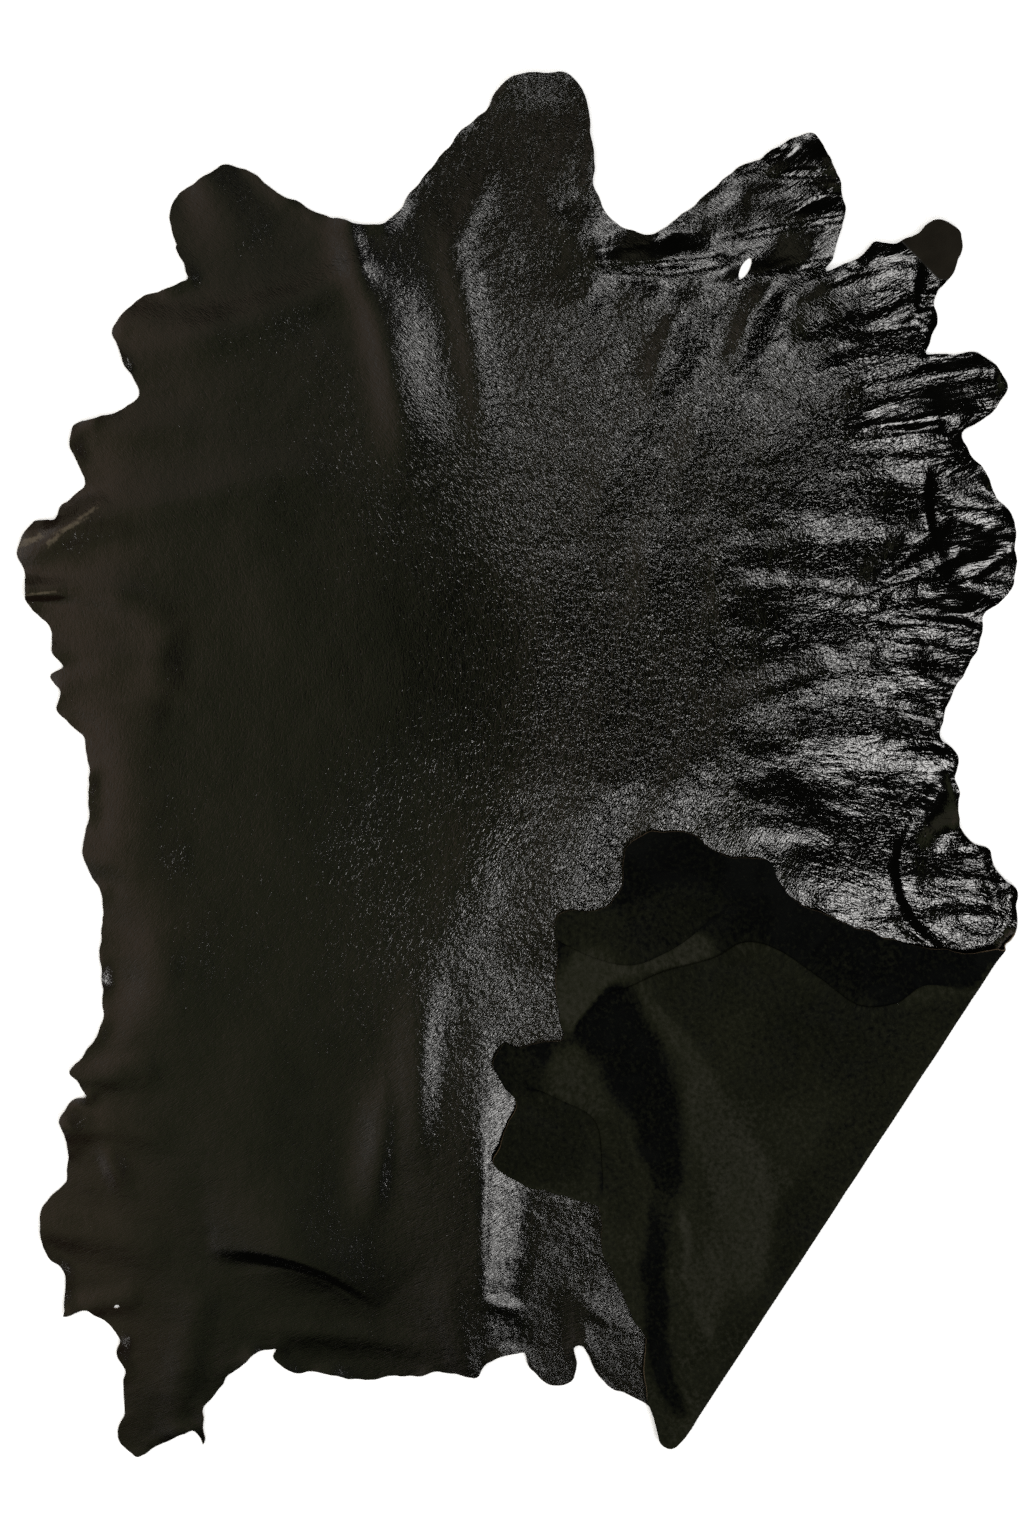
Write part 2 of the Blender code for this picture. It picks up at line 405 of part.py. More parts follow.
def curve_through(stops, step):
    """Catmull-Rom curve through a table's stops, sampled every `step` metres."""
    p = np.array([(s.x, s.y) for s in stops]) * CM
    p = np.vstack((2 * p[0] - p[1], p, 2 * p[-1] - p[-2]))
    out = []
    for i in range(1, len(p) - 2):
        n = max(2, int(round(np.hypot(*(p[i + 1] - p[i])) / step)))
        for t in np.arange(n) / n:
            out.append(0.5 * (2 * p[i] + (p[i + 1] - p[i - 1]) * t
                              + (2 * p[i - 1] - 5 * p[i] + 4 * p[i + 1] - p[i + 2]) * t * t
                              + (3 * p[i] - p[i - 1] - 3 * p[i + 1] + p[i + 2]) * t ** 3))
    out.append(p[-2])
    return np.array(out)


def beside(xy, line):
    """Nearest place on a sampled line: signed distance (left is +) and share 0..1."""
    best = np.full(len(xy), 1e9)
    signed = np.zeros(len(xy))
    share = np.zeros(len(xy))
    seg = np.diff(line, axis=0)
    run = np.hypot(*seg.T)
    at = np.concatenate(((0.0,), np.cumsum(run)))
    for i in range(len(seg)):
        v = np.clip(((xy - line[i]) @ seg[i]) / run[i] ** 2, 0.0, 1.0)
        off = xy - line[i] - v[:, None] * seg[i]
        d = np.hypot(*off.T)
        cross = seg[i][0] * off[:, 1] - seg[i][1] * off[:, 0]
        near = d < best
        best[near] = d[near]
        signed[near] = (np.sign(cross) * d)[near]
        share[near] = ((at[i] + v * run[i]) / at[-1])[near]
    return signed, share


def tuck_height(xy, tucks):
    """A steep lip on one side, sinking back slowly on the other."""
    total = np.zeros(len(xy))
    for t in tucks:
        side, share = beside(xy, curve_through(t.path, 0.006))
        ends = smooth(share / 0.16) * smooth((1 - share) / 0.16)
        lip = smooth(side / 0.004 + 0.5)
        sink = 1 - smooth((side - 0.012) / (t.back * CM))
        total += t.rise * CM * ends * lip * sink
    return total


def spread_height(xy):
    return (fold_height(xy, FOLDS_SPREAD) + ridge_height(xy, RIDGES_SPREAD)
            + tuck_height(xy, TUCKS_SPREAD))


def corner_height(xy):
    return fold_height(xy, FOLDS_CORNER) + tuck_height(xy, TUCKS_CORNER)


def laid(pattern):
    """Flat pattern -> middle surface of the hide as it lies."""
    s = from_axis(pattern)
    lying = np.where(s > ARC, ARC - s, np.where(s > 0, 0.0, s))  # plan distance from the axis
    plan = pattern + OUTWARD * (lying - s)[:, None]
    base = THICK / 2 + spread_height(plan)
    phi = np.clip(s / FOLD_RADIUS, 0.0, math.pi)
    bend = (s > 0) & (s < ARC)
    plan = plan + OUTWARD * np.where(bend, FOLD_RADIUS * np.sin(phi), 0.0)[:, None]
    z = base + np.where(bend, FOLD_RADIUS * (1 - np.cos(phi)), 0.0)
    over = s >= ARC
    depth = np.maximum(-lying, 0.0)
    down = smooth(depth / FOLD_RELAX)
    low = THICK + LAYER_GAP
    rest = (2 * FOLD_RADIUS) * (1 - down) + low * down
    z = np.where(over, base + rest + corner_height(plan) * smooth(depth / 0.03), z)
    return np.column_stack((plan, z))


def faces_of(pattern):
    """Grain and flesh surfaces, half a thickness to each side of the middle."""
    e = 0.0002
    mid = laid(pattern)
    dx = laid(pattern + (e, 0.0)) - laid(pattern - (e, 0.0))
    dy = laid(pattern + (0.0, e)) - laid(pattern - (0.0, e))
    n = np.cross(dx, dy)
    n /= np.linalg.norm(n, axis=1)[:, None]
    return mid + n * THICK / 2, mid - n * THICK / 2


# ------------------------------------------------------------------ the edge
def corners_of(lobes):
    rows = []
    for w in lobes:
        rows.append((w.tx, w.ty, w.tc))
        rows.append((w.dx, w.dy, w.dc))
    a = np.array(rows) * CM
    return a


def rounded(corners):
    """Closed line through a table's corners, each one eased by a small parabola."""
    n = len(corners)
    out = []
    for i in range(n):
        p, c = corners[i, :2], corners[i, 2]
        a, b = corners[i - 1, :2] - p, corners[(i + 1) % n, :2] - p
        la, lb = np.hypot(*a), np.hypot(*b)
        start, end = p + a / la * min(c, 0.48 * la), p + b / lb * min(c, 0.48 * lb)
        for t in (0.0, 0.25, 0.5, 0.75, 1.0):
            out.append(start * (1 - t) ** 2 + 2 * p * t * (1 - t) + end * t * t)
    return np.array(out)


def spaced(line, step):
    """A closed line resampled at even steps, made slightly wavy like a cut skin."""
    loop = np.vstack((line, line[:1]))
    run = np.hypot(*np.diff(loop, axis=0).T)
    at = np.concatenate(((0.0,), np.cumsum(run)))
    n = int(round(at[-1] / step))
    s = np.arange(n) * at[-1] / n
    p = np.column_stack((np.interp(s, at, loop[:, 0]), np.interp(s, at, loop[:, 1])))
    tang = np.roll(p, -1, axis=0) - np.roll(p, 1, axis=0)
    tang /= np.hypot(*tang.T)[:, None]
    wave = sum(k * np.sin(2 * math.pi * s / w + f)
               for k, w, f in ((1.0, 0.061, 0.4), (0.7, 0.037, 2.1), (0.5, 0.0225, 4.0)))
    return p + np.column_stack((tang[:, 1], -tang[:, 0])) * (RAGGED * wave)[:, None]


def outline():
    spread_a = corners_of(FORE_LEFT + NECK + SHOULDER_RIGHT + FORE_RIGHT + FLANK_RIGHT)
    corner = corners_of(CORNER)
    corner[:, :2] = unfolded(corner[:, :2])
    spread_b = corners_of(REAR + SHANK_REAR_LEFT + REAR_LEFT + FLANK_LEFT)
    return spaced(rounded(np.vstack((spread_a, corner, spread_b))), EDGE_STEP)


def hole_line(h, points):
    t = np.arange(points) * 2 * math.pi / points
    x, y = np.cos(t) * h.length / 2, np.sin(t) * np.abs(np.sin(t)) ** 0.3 * h.width / 2
    c, s = math.cos(math.radians(h.turn)), math.sin(math.radians(h.turn))
    return np.column_stack((h.x + x * c - y * s, h.y + x * s + y * c)) * CM


def inside(points, loop):
    """Even-odd test of points against a closed line."""
    a, b = loop, np.roll(loop, -1, axis=0)
    hit = np.zeros(len(points), bool)
    for (x0, y0), (x1, y1) in zip(a, b):
        if y0 == y1:
            continue
        cross = (points[:, 1] > y0) != (points[:, 1] > y1)
        hit ^= cross & (points[:, 0] < x0 + (points[:, 1] - y0) * (x1 - x0) / (y1 - y0))
    return hit


def distance_to(points, line, closed=True):
    a = line if closed else line[:-1]
    b = np.roll(line, -1, axis=0) if closed else line[1:]
    best = np.full(len(points), 1e9)
    for p, q in zip(a, b):
        d = q - p
        v = np.clip(((points - p) @ d) / (d @ d), 0, 1)
        best = np.minimum(best, np.hypot(*(points - p - v[:, None] * d).T))
    return best


def inner_points(edge, holes):
    """Rows round the bend and beside the tucks, then an even field elsewhere."""
    rows = []
    count = int(FOLD_LENGTH / BEND_STEP) + 8
    for k in range(-1, BEND_ROWS + 2):
        s = ARC * k / BEND_ROWS
        shift = 0.5 * (k % 2)
        for j in range(-3, count):
            rows.append(AXIS + OUTWARD * s + ALONG * (j + shift) * BEND_STEP)
    bend = np.array(rows)
    tucks = []
    for t in TUCKS_SPREAD + TUCKS_CORNER:
        line = curve_through(t.path, 0.014)
        tang = np.gradient(line, axis=0)
        tang /= np.hypot(*tang.T)[:, None]
        left = np.column_stack((-tang[:, 1], tang[:, 0]))
        for off in (-0.0065, -0.002, 0.002, 0.0065):
            row = line + left * off
            tucks.append(unfolded(row) if t in TUCKS_CORNER else row)
    tucks = np.vstack(tucks)
    lo, hi = edge.min(axis=0), edge.max(axis=0)
    field = []
    for j in range(int((hi[1] - lo[1]) / (GRID * 0.866)) + 1):
        for i in range(int((hi[0] - lo[0]) / GRID) + 1):
            field.append((lo[0] + (i + 0.5 * (j % 2)) * GRID, lo[1] + j * GRID * 0.866))
    field = np.array(field)
    s = from_axis(field)
    field = field[(s < -0.010) | (s > ARC + 0.010)]
    for guide, room in ((tucks, 0.012),):
        gap = np.array([np.hypot(*(guide - p).T).min() for p in field])
        field = field[gap > room]
    s = from_axis(tucks)
    tucks = tucks[(s < -0.006) | (s > ARC + 0.006)]
    kept = []
    for group, room in ((bend, 0.0040), (tucks, 0.0045), (field, GRID * 0.5)):
        ok = inside(group, edge) & (distance_to(group, edge) > room)
        for h in holes:
            ok &= ~inside(group, h) & (distance_to(group, h) > 0.006)
        kept.append(group[ok])
    return np.vstack(kept)


def build_hide():
    edge = outline()
    holes = [hole_line(h, 10 if h.length > 1 else 6) for h in HOLES]
    inner = inner_points(edge, holes)
    loops, start = [], 0
    for loop in [edge] + holes:
        loops.append([(start + i, start + (i + 1) % len(loop)) for i in range(len(loop))])
        start += len(loop)
    points = np.vstack([edge] + holes + [inner])
    verts, _, tris, _, _, _ = delaunay_2d_cdt(
        [Vector(p) for p in points], [e for loop in loops for e in loop], [], 0, 1e-7)
    flat = np.array([(v.x, v.y) for v in verts])
    tris = np.array([t for t in tris])
    mid = flat[tris].mean(axis=1)
    keep = inside(mid, edge)
    for h in holes:
        keep &= ~inside(mid, h)
    tris = tris[keep]
    area = ((flat[tris[:, 1]] - flat[tris[:, 0]])[:, 0] * (flat[tris[:, 2]] - flat[tris[:, 0]])[:, 1]
            - (flat[tris[:, 1]] - flat[tris[:, 0]])[:, 1] * (flat[tris[:, 2]] - flat[tris[:, 0]])[:, 0])
    tris[area < 0] = tris[area < 0][:, ::-1]
    used = np.unique(tris)
    where = np.full(len(flat), -1)
    where[used] = np.arange(len(used))
    flat, tris = flat[used], where[tris]
    grain, flesh = faces_of(flat)
    n = len(flat)
    faces = [tuple(int(i) for i in t) for t in tris]
    faces += [tuple(int(i) + n for i in t[::-1]) for t in tris]
    once = {}
    for t in tris:
        for a, b in ((t[0], t[1]), (t[1], t[2]), (t[2], t[0])):
            once[(int(a), int(b))] = once.get((int(a), int(b)), 0) + 1
    for a, b in once:
        if (b, a) not in once:
            faces.append((b, a, a + n))
            faces.append((b, a + n, b + n))
    mesh = bpy.data.meshes.new("hide")
    shell = np.vstack((grain, flesh)) - (PLAN_CENTRE[0] * CM, PLAN_CENTRE[1] * CM, 0.0)
    mesh.from_pydata([tuple(p) for p in shell.tolist()], [], faces)
    mesh.validate()
    mesh.update()
    hide = bpy.data.objects.new("hide", mesh)
    bpy.context.scene.collection.objects.link(hide)
    return hide


def leather():
    m = bpy.data.materials.new("hide_leather")
    m.use_nodes = True
    shader = m.node_tree.nodes["Principled BSDF"]
    shader.inputs["Base Color"].default_value = LEATHER_COLOUR
    shader.inputs["Roughness"].default_value = LEATHER_ROUGH
    shader.inputs["Metallic"].default_value = 0.0
    return m


for obj in list(bpy.data.objects):
    bpy.data.objects.remove(obj, do_unlink=True)
hide = build_hide()
hide.data.materials.append(leather())
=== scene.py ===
"""Leather hide: the looks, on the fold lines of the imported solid.

One sheet of crinkle-gloss leather, 1.4 mm thick, lying grain side up with its
lower right corner folded over. Plan tables are in centimetres, in the plan of
the hide as it lies, and match the solid's; everything built is in metres.
"""
import math
from collections import namedtuple

import bpy
import numpy as np
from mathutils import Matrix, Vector
from mathutils.geometry import delaunay_2d_cdt
from mathutils.kdtree import KDTree


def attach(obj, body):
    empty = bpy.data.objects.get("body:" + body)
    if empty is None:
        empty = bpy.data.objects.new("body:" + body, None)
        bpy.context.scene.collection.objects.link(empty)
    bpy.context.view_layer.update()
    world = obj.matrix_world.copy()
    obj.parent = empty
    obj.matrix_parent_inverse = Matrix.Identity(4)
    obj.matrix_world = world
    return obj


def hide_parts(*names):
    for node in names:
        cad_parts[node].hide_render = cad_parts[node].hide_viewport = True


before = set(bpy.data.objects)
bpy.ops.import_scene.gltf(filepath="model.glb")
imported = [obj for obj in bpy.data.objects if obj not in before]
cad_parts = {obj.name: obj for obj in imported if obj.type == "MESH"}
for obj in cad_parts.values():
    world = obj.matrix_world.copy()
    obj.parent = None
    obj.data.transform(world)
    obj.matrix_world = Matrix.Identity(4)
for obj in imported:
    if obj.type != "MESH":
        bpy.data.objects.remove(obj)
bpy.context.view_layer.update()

# ------------------------------------------------------------------ sizes (m)
THICK = 0.0014
FOLD_RADIUS = 0.0048
LAYER_GAP = 0.0012
FOLD_RELAX = 0.085
RAGGED = 0.0009
FLAT_BELOW = 0.0003
RIDGE_SHARE = 0.7
LIFT = 0.0010           # how far the hide stands off the floor between its folds
EDGE_STEP = 0.0024      # spacing along the ragged edge
CLOSE = 0.0030          # spacing on the glossy right half
FINE = 0.0052           # spacing elsewhere that the surface is seen
COARSE = 0.0105         # spacing where it is hidden
CLOSE_FROM = -0.025
ALONG_STEP = 0.0040     # spacing along the bend and the tucks
BEND_ROWS = 12

FOLD_TOP = (43.1, -16.4)
FOLD_TIP = (16.3, -58.8)
PLAN_CENTRE = (0.77, -1.12)

# ------------------------------------------------- the edge, lobe by lobe (cm)
# Each row is one lobe and the hollow that follows it clockwise. tc and dc say how
# far from the corner the rounding starts, so a small number is a sharp corner.
Lobe = namedtuple("Lobe", "tx ty tc dx dy dc")

FORE_LEFT = (
    Lobe(-29.5, 46.6, 1.5, -29.4, 48.7, 0.8),
    Lobe(-26.3, 51.3, 1.0, -24.2, 52.0, 1.0),
    Lobe(-22.4, 51.4, 1.0, -19.4, 49.1, 1.5),
    Lobe(-16.4, 47.8, 1.5, -11.4, 46.5, 1.2),
)
NECK = (
    Lobe(-9.2, 48.8, 1.0, -5.3, 53.9, 1.5),
    Lobe(-2.6, 56.2, 1.5, -0.9, 58.7, 0.8),
    Lobe(0.4, 59.4, 1.0, 4.4, 59.9, 0.8),
    Lobe(6.4, 57.8, 1.2, 6.8, 55.0, 1.5),
    Lobe(7.0, 50.5, 1.5, 8.2, 47.3, 1.5),
    Lobe(10.8, 46.0, 2.0, 13.3, 46.5, 1.5),
)
SHOULDER_RIGHT = (
    Lobe(18.0, 50.7, 1.0, 21.7, 52.9, 1.5),
    Lobe(25.5, 54.8, 0.8, 26.8, 53.8, 0.8),
    Lobe(28.7, 48.6, 1.2, 28.5, 46.8, 1.2),
    Lobe(26.9, 42.9, 0.3, 28.6, 43.7, 0.8),
    Lobe(30.0, 43.9, 0.5, 31.1, 45.5, 0.5),
)
FORE_RIGHT = (
    Lobe(32.4, 45.1, 0.6, 35.1, 46.3, 1.0),
    Lobe(36.7, 47.4, 1.2, 38.7, 46.4, 0.9),
    Lobe(38.7, 44.2, 0.8, 36.3, 40.5, 1.0),
    Lobe(36.7, 39.0, 0.6, 35.6, 35.9, 0.3),
    Lobe(39.8, 36.0, 1.5, 41.7, 35.2, 1.0),
    Lobe(43.1, 33.0, 1.3, 41.4, 30.8, 1.5),
    Lobe(38.9, 29.0, 0.5, 39.5, 27.4, 0.5),
)
FLANK_RIGHT = (
    Lobe(41.2, 25.8, 0.8, 41.8, 24.0, 0.8),
    Lobe(43.0, 22.6, 0.6, 43.9, 20.6, 1.2),
    Lobe(43.9, 16.7, 1.4, 43.1, 15.1, 0.8),
    Lobe(41.2, 13.4, 0.8, 40.4, 10.0, 1.5),
    Lobe(37.5, 4.9, 0.8, 37.5, 2.5, 0.5),
    Lobe(39.3, 1.2, 1.0, 38.7, -0.8, 0.4),
    Lobe(39.4, -2.5, 1.0, 39.1, -5.1, 0.8),
    Lobe(39.8, -6.3, 0.8, 42.0, -7.1, 0.4),
    Lobe(42.6, -9.3, 1.0, 44.5, -10.9, 0.9),
    Lobe(44.5, -14.5, 0.8, 43.3, -15.6, 0.3),
)
# The folded corner, in plan as it lies on top, from the bend's upper end round
# to its lower tip.
CORNER = (
    Lobe(42.0, -15.9, 0.4, 39.3, -16.3, 1.5),
    Lobe(35.3, -15.6, 1.5, 31.2, -14.5, 1.2),
    Lobe(29.0, -13.4, 1.2, 25.1, -12.0, 1.0),
    Lobe(23.8, -10.4, 1.2, 22.9, -8.5, 0.9),
    Lobe(21.4, -7.8, 0.9, 18.6, -7.8, 1.2),
    Lobe(15.1, -5.4, 1.2, 11.9, -5.5, 1.2),
    Lobe(9.8, -6.9, 1.5, 9.6, -11.1, 0.9),
    Lobe(8.4, -12.4, 0.7, 4.0, -12.6, 0.6),
    Lobe(3.9, -19.5, 2.0, 4.5, -24.0, 0.4),
    Lobe(0.7, -24.8, 1.0, -0.6, -24.2, 0.5),
    Lobe(-1.9, -25.9, 0.8, 0.4, -30.0, 0.5),
    Lobe(-2.0, -35.4, 1.3, 2.5, -37.6, 1.2),
    Lobe(7.9, -38.9, 0.4, 7.8, -42.3, 1.5),
    Lobe(10.4, -48.4, 1.2, 11.9, -50.5, 1.0),
    Lobe(11.7, -53.5, 1.5, 12.3, -57.3, 1.0),
    Lobe(13.1, -60.2, 0.8, 14.3, -61.0, 0.6),
    Lobe(15.4, -60.0, 0.6, 16.2, -59.1, 0.4),
)
REAR = (
    Lobe(12.3, -57.3, 0.5, 8.2, -55.2, 1.0),
    Lobe(6.3, -51.7, 0.4, 5.6, -51.9, 0.2),
    Lobe(5.6, -55.1, 0.7, 3.7, -55.7, 1.0),
    Lobe(1.8, -54.2, 1.0, 1.2, -52.2, 0.3),
    Lobe(-2.4, -53.1, 0.4, -3.1, -54.6, 0.4),
    Lobe(-5.6, -54.1, 1.5, -10.0, -54.5, 1.2),
    Lobe(-13.5, -55.1, 1.2, -16.0, -54.3, 1.2),
    Lobe(-19.5, -54.4, 1.2, -21.5, -52.9, 0.4),
    Lobe(-21.0, -52.0, 0.2, -22.3, -52.2, 0.6),
)
SHANK_REAR_LEFT = (
    Lobe(-25.7, -54.5, 0.3, -25.7, -55.3, 0.3),
    Lobe(-27.7, -57.5, 0.4, -27.7, -61.0, 0.15),
    Lobe(-28.6, -59.5, 0.2, -30.4, -60.1, 0.8),
    Lobe(-33.8, -62.2, 0.5, -35.4, -60.4, 0.8),
    Lobe(-34.7, -57.4, 0.8, -34.9, -55.5, 0.8),
    Lobe(-34.5, -54.2, 0.5, -35.3, -52.4, 0.5),
    Lobe(-35.1, -51.3, 0.4, -36.3, -49.4, 0.8),
    Lobe(-38.0, -48.4, 0.6, -40.1, -49.1, 0.2),
)
REAR_LEFT = (
    Lobe(-39.9, -46.7, 0.5, -39.5, -45.2, 0.4),
    Lobe(-41.6, -43.7, 1.0, -42.1, -40.3, 1.2),
    Lobe(-41.3, -38.2, 0.8, -39.4, -36.7, 0.5),
    Lobe(-39.4, -33.2, 1.2, -40.3, -31.2, 0.6),
    Lobe(-38.9, -29.6, 0.5, -37.6, -29.2, 0.2),
    Lobe(-39.2, -27.0, 0.3, -36.8, -24.2, 1.0),
)
FLANK_LEFT = (
    Lobe(-35.9, -20.6, 1.5, -36.5, -16.0, 1.5),
    Lobe(-35.8, -13.3, 1.2, -36.3, -10.8, 1.0),
    Lobe(-37.8, -7.6, 1.2, -36.8, -1.9, 2.0),
    Lobe(-37.5, 2.9, 0.6, -40.0, 5.3, 0.4),
    Lobe(-39.4, 6.8, 0.4, -40.4, 8.1, 0.3),
    Lobe(-39.0, 8.9, 0.3, -40.1, 10.1, 0.4),
    Lobe(-40.4, 12.7, 0.5, -41.6, 13.8, 0.3),
    Lobe(-42.5, 14.8, 0.2, -42.3, 16.8, 0.5),
    Lobe(-43.1, 18.8, 0.6, -41.6, 21.8, 0.4),
    Lobe(-39.6, 21.5, 0.4, -39.1, 22.9, 0.4),
    Lobe(-37.0, 24.5, 0.4, -38.2, 28.2, 1.0),
    Lobe(-38.2, 29.9, 0.5, -33.3, 31.1, 1.2),
    Lobe(-32.2, 32.5, 0.8, -34.2, 36.8, 1.5),
    Lobe(-34.6, 38.2, 0.6, -33.4, 39.7, 0.6),
    Lobe(-30.7, 41.3, 1.0, -27.8, 42.3, 0.3),
)

# ------------------------------------------- small holes in the skin (cm, deg)
Hole = namedtuple("Hole", "name x y length width turn")
HOLES = (
    Hole("shoulder_slit", 20.1, 43.2, 2.1, 0.75, 62),
    Hole("shank_nick", -35.3, -48.2, 0.55, 0.35, 20),
)

# -------------------------------------------- the folds it lies in (cm, mm high)
# A row is one fold from (x0, y0) to (x1, y1), bulging `bow` to the left of that
# walk. Its height goes from h0 by hm to h1, and left and right are the widths of
# its two flanks, so a narrow flank beside a wide one is a sharp crease.
Fold = namedtuple("Fold", "x0 y0 x1 y1 bow h0 hm h1 left right")

FOLDS_NECK = (
    Fold(-14.2, 46.5, -9.2, 26.0,  1.0, 1.2, 4.8, 0.6, 3.2, 1.8),
    Fold(-5.8, 46.5, -2.3, 27.0,   0.7, 1.2, 3.2, 0.5, 1.6, 1.5),
    Fold(-1.8, 51.5, -4.8, 45.5,   0.0, 0.5, 1.8, 1.0, 1.1, 1.0),
    Fold(7.6, 60.0, 7.6, 49.0,     0.0, 2.0, 5.0, 1.0, 1.5, 4.6),
    Fold(6.6, 48.5, 5.8, 37.0,     0.3, 1.2, 2.9, 0.3, 1.9, 3.8),
    Fold(1.8, 50.0, 4.6, 46.4,     0.0, 0.3, 1.4, 0.6, 1.0, 1.0),
    Fold(-1.5, 59.2, 3.0, 57.4,    0.0, 1.0, 1.8, 0.6, 2.0, 1.4),
    Fold(-0.6, 62.8, -0.4, 56.4,   0.0, 7.0, 6.0, 0.5, 5.4, 2.4),
)
FOLDS_SHOULDER = (
    Fold(6.6, 44.0, 18.8, 44.6,   -0.5, 0.6, 5.6, 1.4, 1.8, 0.8),
    Fold(16.8, 46.0, 29.2, 48.0,  -0.1, 0.8, 2.8, 4.6, 2.4, 0.5),
    Fold(18.6, 42.0, 27.2, 42.6,   0.2, 0.6, 2.2, 1.4, 3.0, 2.2),
    Fold(21.6, 51.4, 28.2, 51.6,   0.2, 1.5, 5.2, 6.0, 2.2, 0.7),
    Fold(15.6, 48.4, 19.0, 49.8,   0.1, 0.3, 1.0, 0.4, 0.7, 0.9),
    Fold(20.6, 49.6, 28.6, 50.2,   0.2, 0.4, 1.6, 2.2, 0.8, 0.6),
    Fold(21.6, 39.6, 22.0, 41.8,  -0.2, 0.4, 1.6, 0.4, 1.0, 0.9),
    Fold(14.6, 39.0, 12.2, 30.5,  -0.6, 0.8, 2.8, 0.6, 2.8, 1.3),
    Fold(7.4, 41.6, 13.4, 39.2,    0.9, 0.5, 2.2, 0.6, 1.2, 2.4),
    Fold(9.4, 29.6, 7.6, 22.4,    -0.3, 0.4, 1.8, 0.4, 2.6, 1.4),
    Fold(16.8, 31.0, 15.2, 24.0,  -0.3, 0.4, 2.0, 0.4, 2.8, 1.4),
    Fold(12.4, 22.0, 11.6, 13.0,  -0.4, 0.4, 1.8, 0.4, 2.6, 1.4),
    Fold(22.2, 41.0, 19.4, 34.0,  -0.6, 0.8, 3.0, 0.6, 1.6, 1.2),
    Fold(14.6, 39.5, 13.6, 36.0,  -0.2, 0.4, 1.4, 0.4, 1.6, 1.0),
    Fold(23.0, 38.4, 32.4, 42.8,   0.4, 0.5, 2.8, 2.6, 1.0, 3.6),
    Fold(26.4, 45.6, 39.4, 48.2,   0.2, 3.2, 7.6, 9.6, 2.0, 3.1),
    Fold(30.6, 42.8, 31.0, 37.0,   0.1, 0.8, 3.4, 1.0, 2.0, 6.0),
    Fold(25.0, 34.6, 35.4, 37.4,   0.5, 0.5, 2.6, 2.4, 1.2, 1.0),
    Fold(26.4, 29.2, 42.8, 34.4,   1.2, 0.6, 6.0, 5.4, 1.6, 2.8),
    Fold(28.0, 33.8, 34.8, 36.2,   0.0, 0.5, 1.4, 1.2, 0.9, 1.0),
    Fold(27.0, 28.2, 38.8, 29.4,  -0.2, 0.4, 1.8, 2.2, 1.2, 1.3),
)
FOLDS_FLANK = (
    Fold(25.0, 24.4, 37.6, 24.6,   0.3, 0.3, 0.9, 1.6, 1.3, 1.6),
    Fold(21.8, 19.4, 33.5, 19.6,   0.2, 0.8, 3.8, 1.6, 1.6, 2.6),
    Fold(30.0, 16.0, 36.5, 21.0,   0.2, 0.8, 2.4, 1.5, 1.1, 1.2),
    Fold(37.0, 22.8, 42.6, 22.6,   0.1, 0.8, 3.0, 3.2, 1.0, 1.2),
    Fold(37.0, 16.0, 43.6, 16.4,   0.0, 0.4, 1.8, 2.2, 1.2, 1.2),
    Fold(18.0, 19.4, 18.3, 12.4,  -0.2, 0.4, 1.4, 0.4, 1.8, 0.9),
    Fold(17.4, 15.0, 31.5, 14.6,   0.9, 0.6, 2.6, 1.0, 1.2, 1.1),
    Fold(17.0, 13.6, 26.0, 13.4,   0.2, 0.6, 2.2, 0.6, 1.2, 2.6),
    Fold(28.5, 13.8, 37.0, 17.0,   0.2, 0.6, 2.6, 1.6, 1.1, 1.2),
    Fold(28.0, 12.6, 41.4, 11.4,   0.3, 0.4, 2.6, 3.4, 1.1, 1.1),
    Fold(15.5, 4.0, 40.6, 9.0,     1.6, 0.6, 4.6, 3.6, 1.9, 2.4),
    Fold(32.0, 6.7, 38.6, 5.6,     0.1, 0.4, 2.0, 2.4, 0.7, 0.8),
    Fold(33.2, 4.6, 37.6, 3.6,     0.0, 0.4, 1.8, 2.0, 0.6, 0.8),
    Fold(18.0, 0.8, 38.2, 3.2,     0.5, 0.6, 3.2, 4.4, 3.0, 2.4),
    Fold(5.0, -12.8, 13.6, 3.4,    2.2, 2.6, 5.0, 0.6, 5.0, 2.5),
    Fold(12.0, -7.4, 18.0, 2.4,    1.0, 1.8, 3.0, 0.6, 1.9, 2.0),
    Fold(17.6, -6.4, 31.5, -4.4,   3.0, 1.0, 2.0, 0.6, 2.4, 2.2),
    Fold(19.6, -6.6, 28.2, -6.0,   1.0, 0.8, 2.2, 0.6, 1.6, 2.0),
    Fold(22.5, -9.8, 34.0, -10.0,  0.3, 1.2, 3.6, 3.4, 3.2, 2.6),
    Fold(36.0, -7.2, 40.0, -4.6,   0.3, 1.0, 4.6, 3.0, 1.2, 1.5),
    Fold(35.4, -9.6, 43.4, -10.6,  0.5, 1.0, 4.6, 3.0, 1.6, 1.7),
    Fold(36.4, -13.2, 43.4, -13.6, 0.2, 0.8, 3.0, 2.4, 1.1, 1.2),
    Fold(41.0, -7.6, 43.0, -12.4,  0.0, 0.8, 2.4, 1.0, 1.0, 0.9),
)
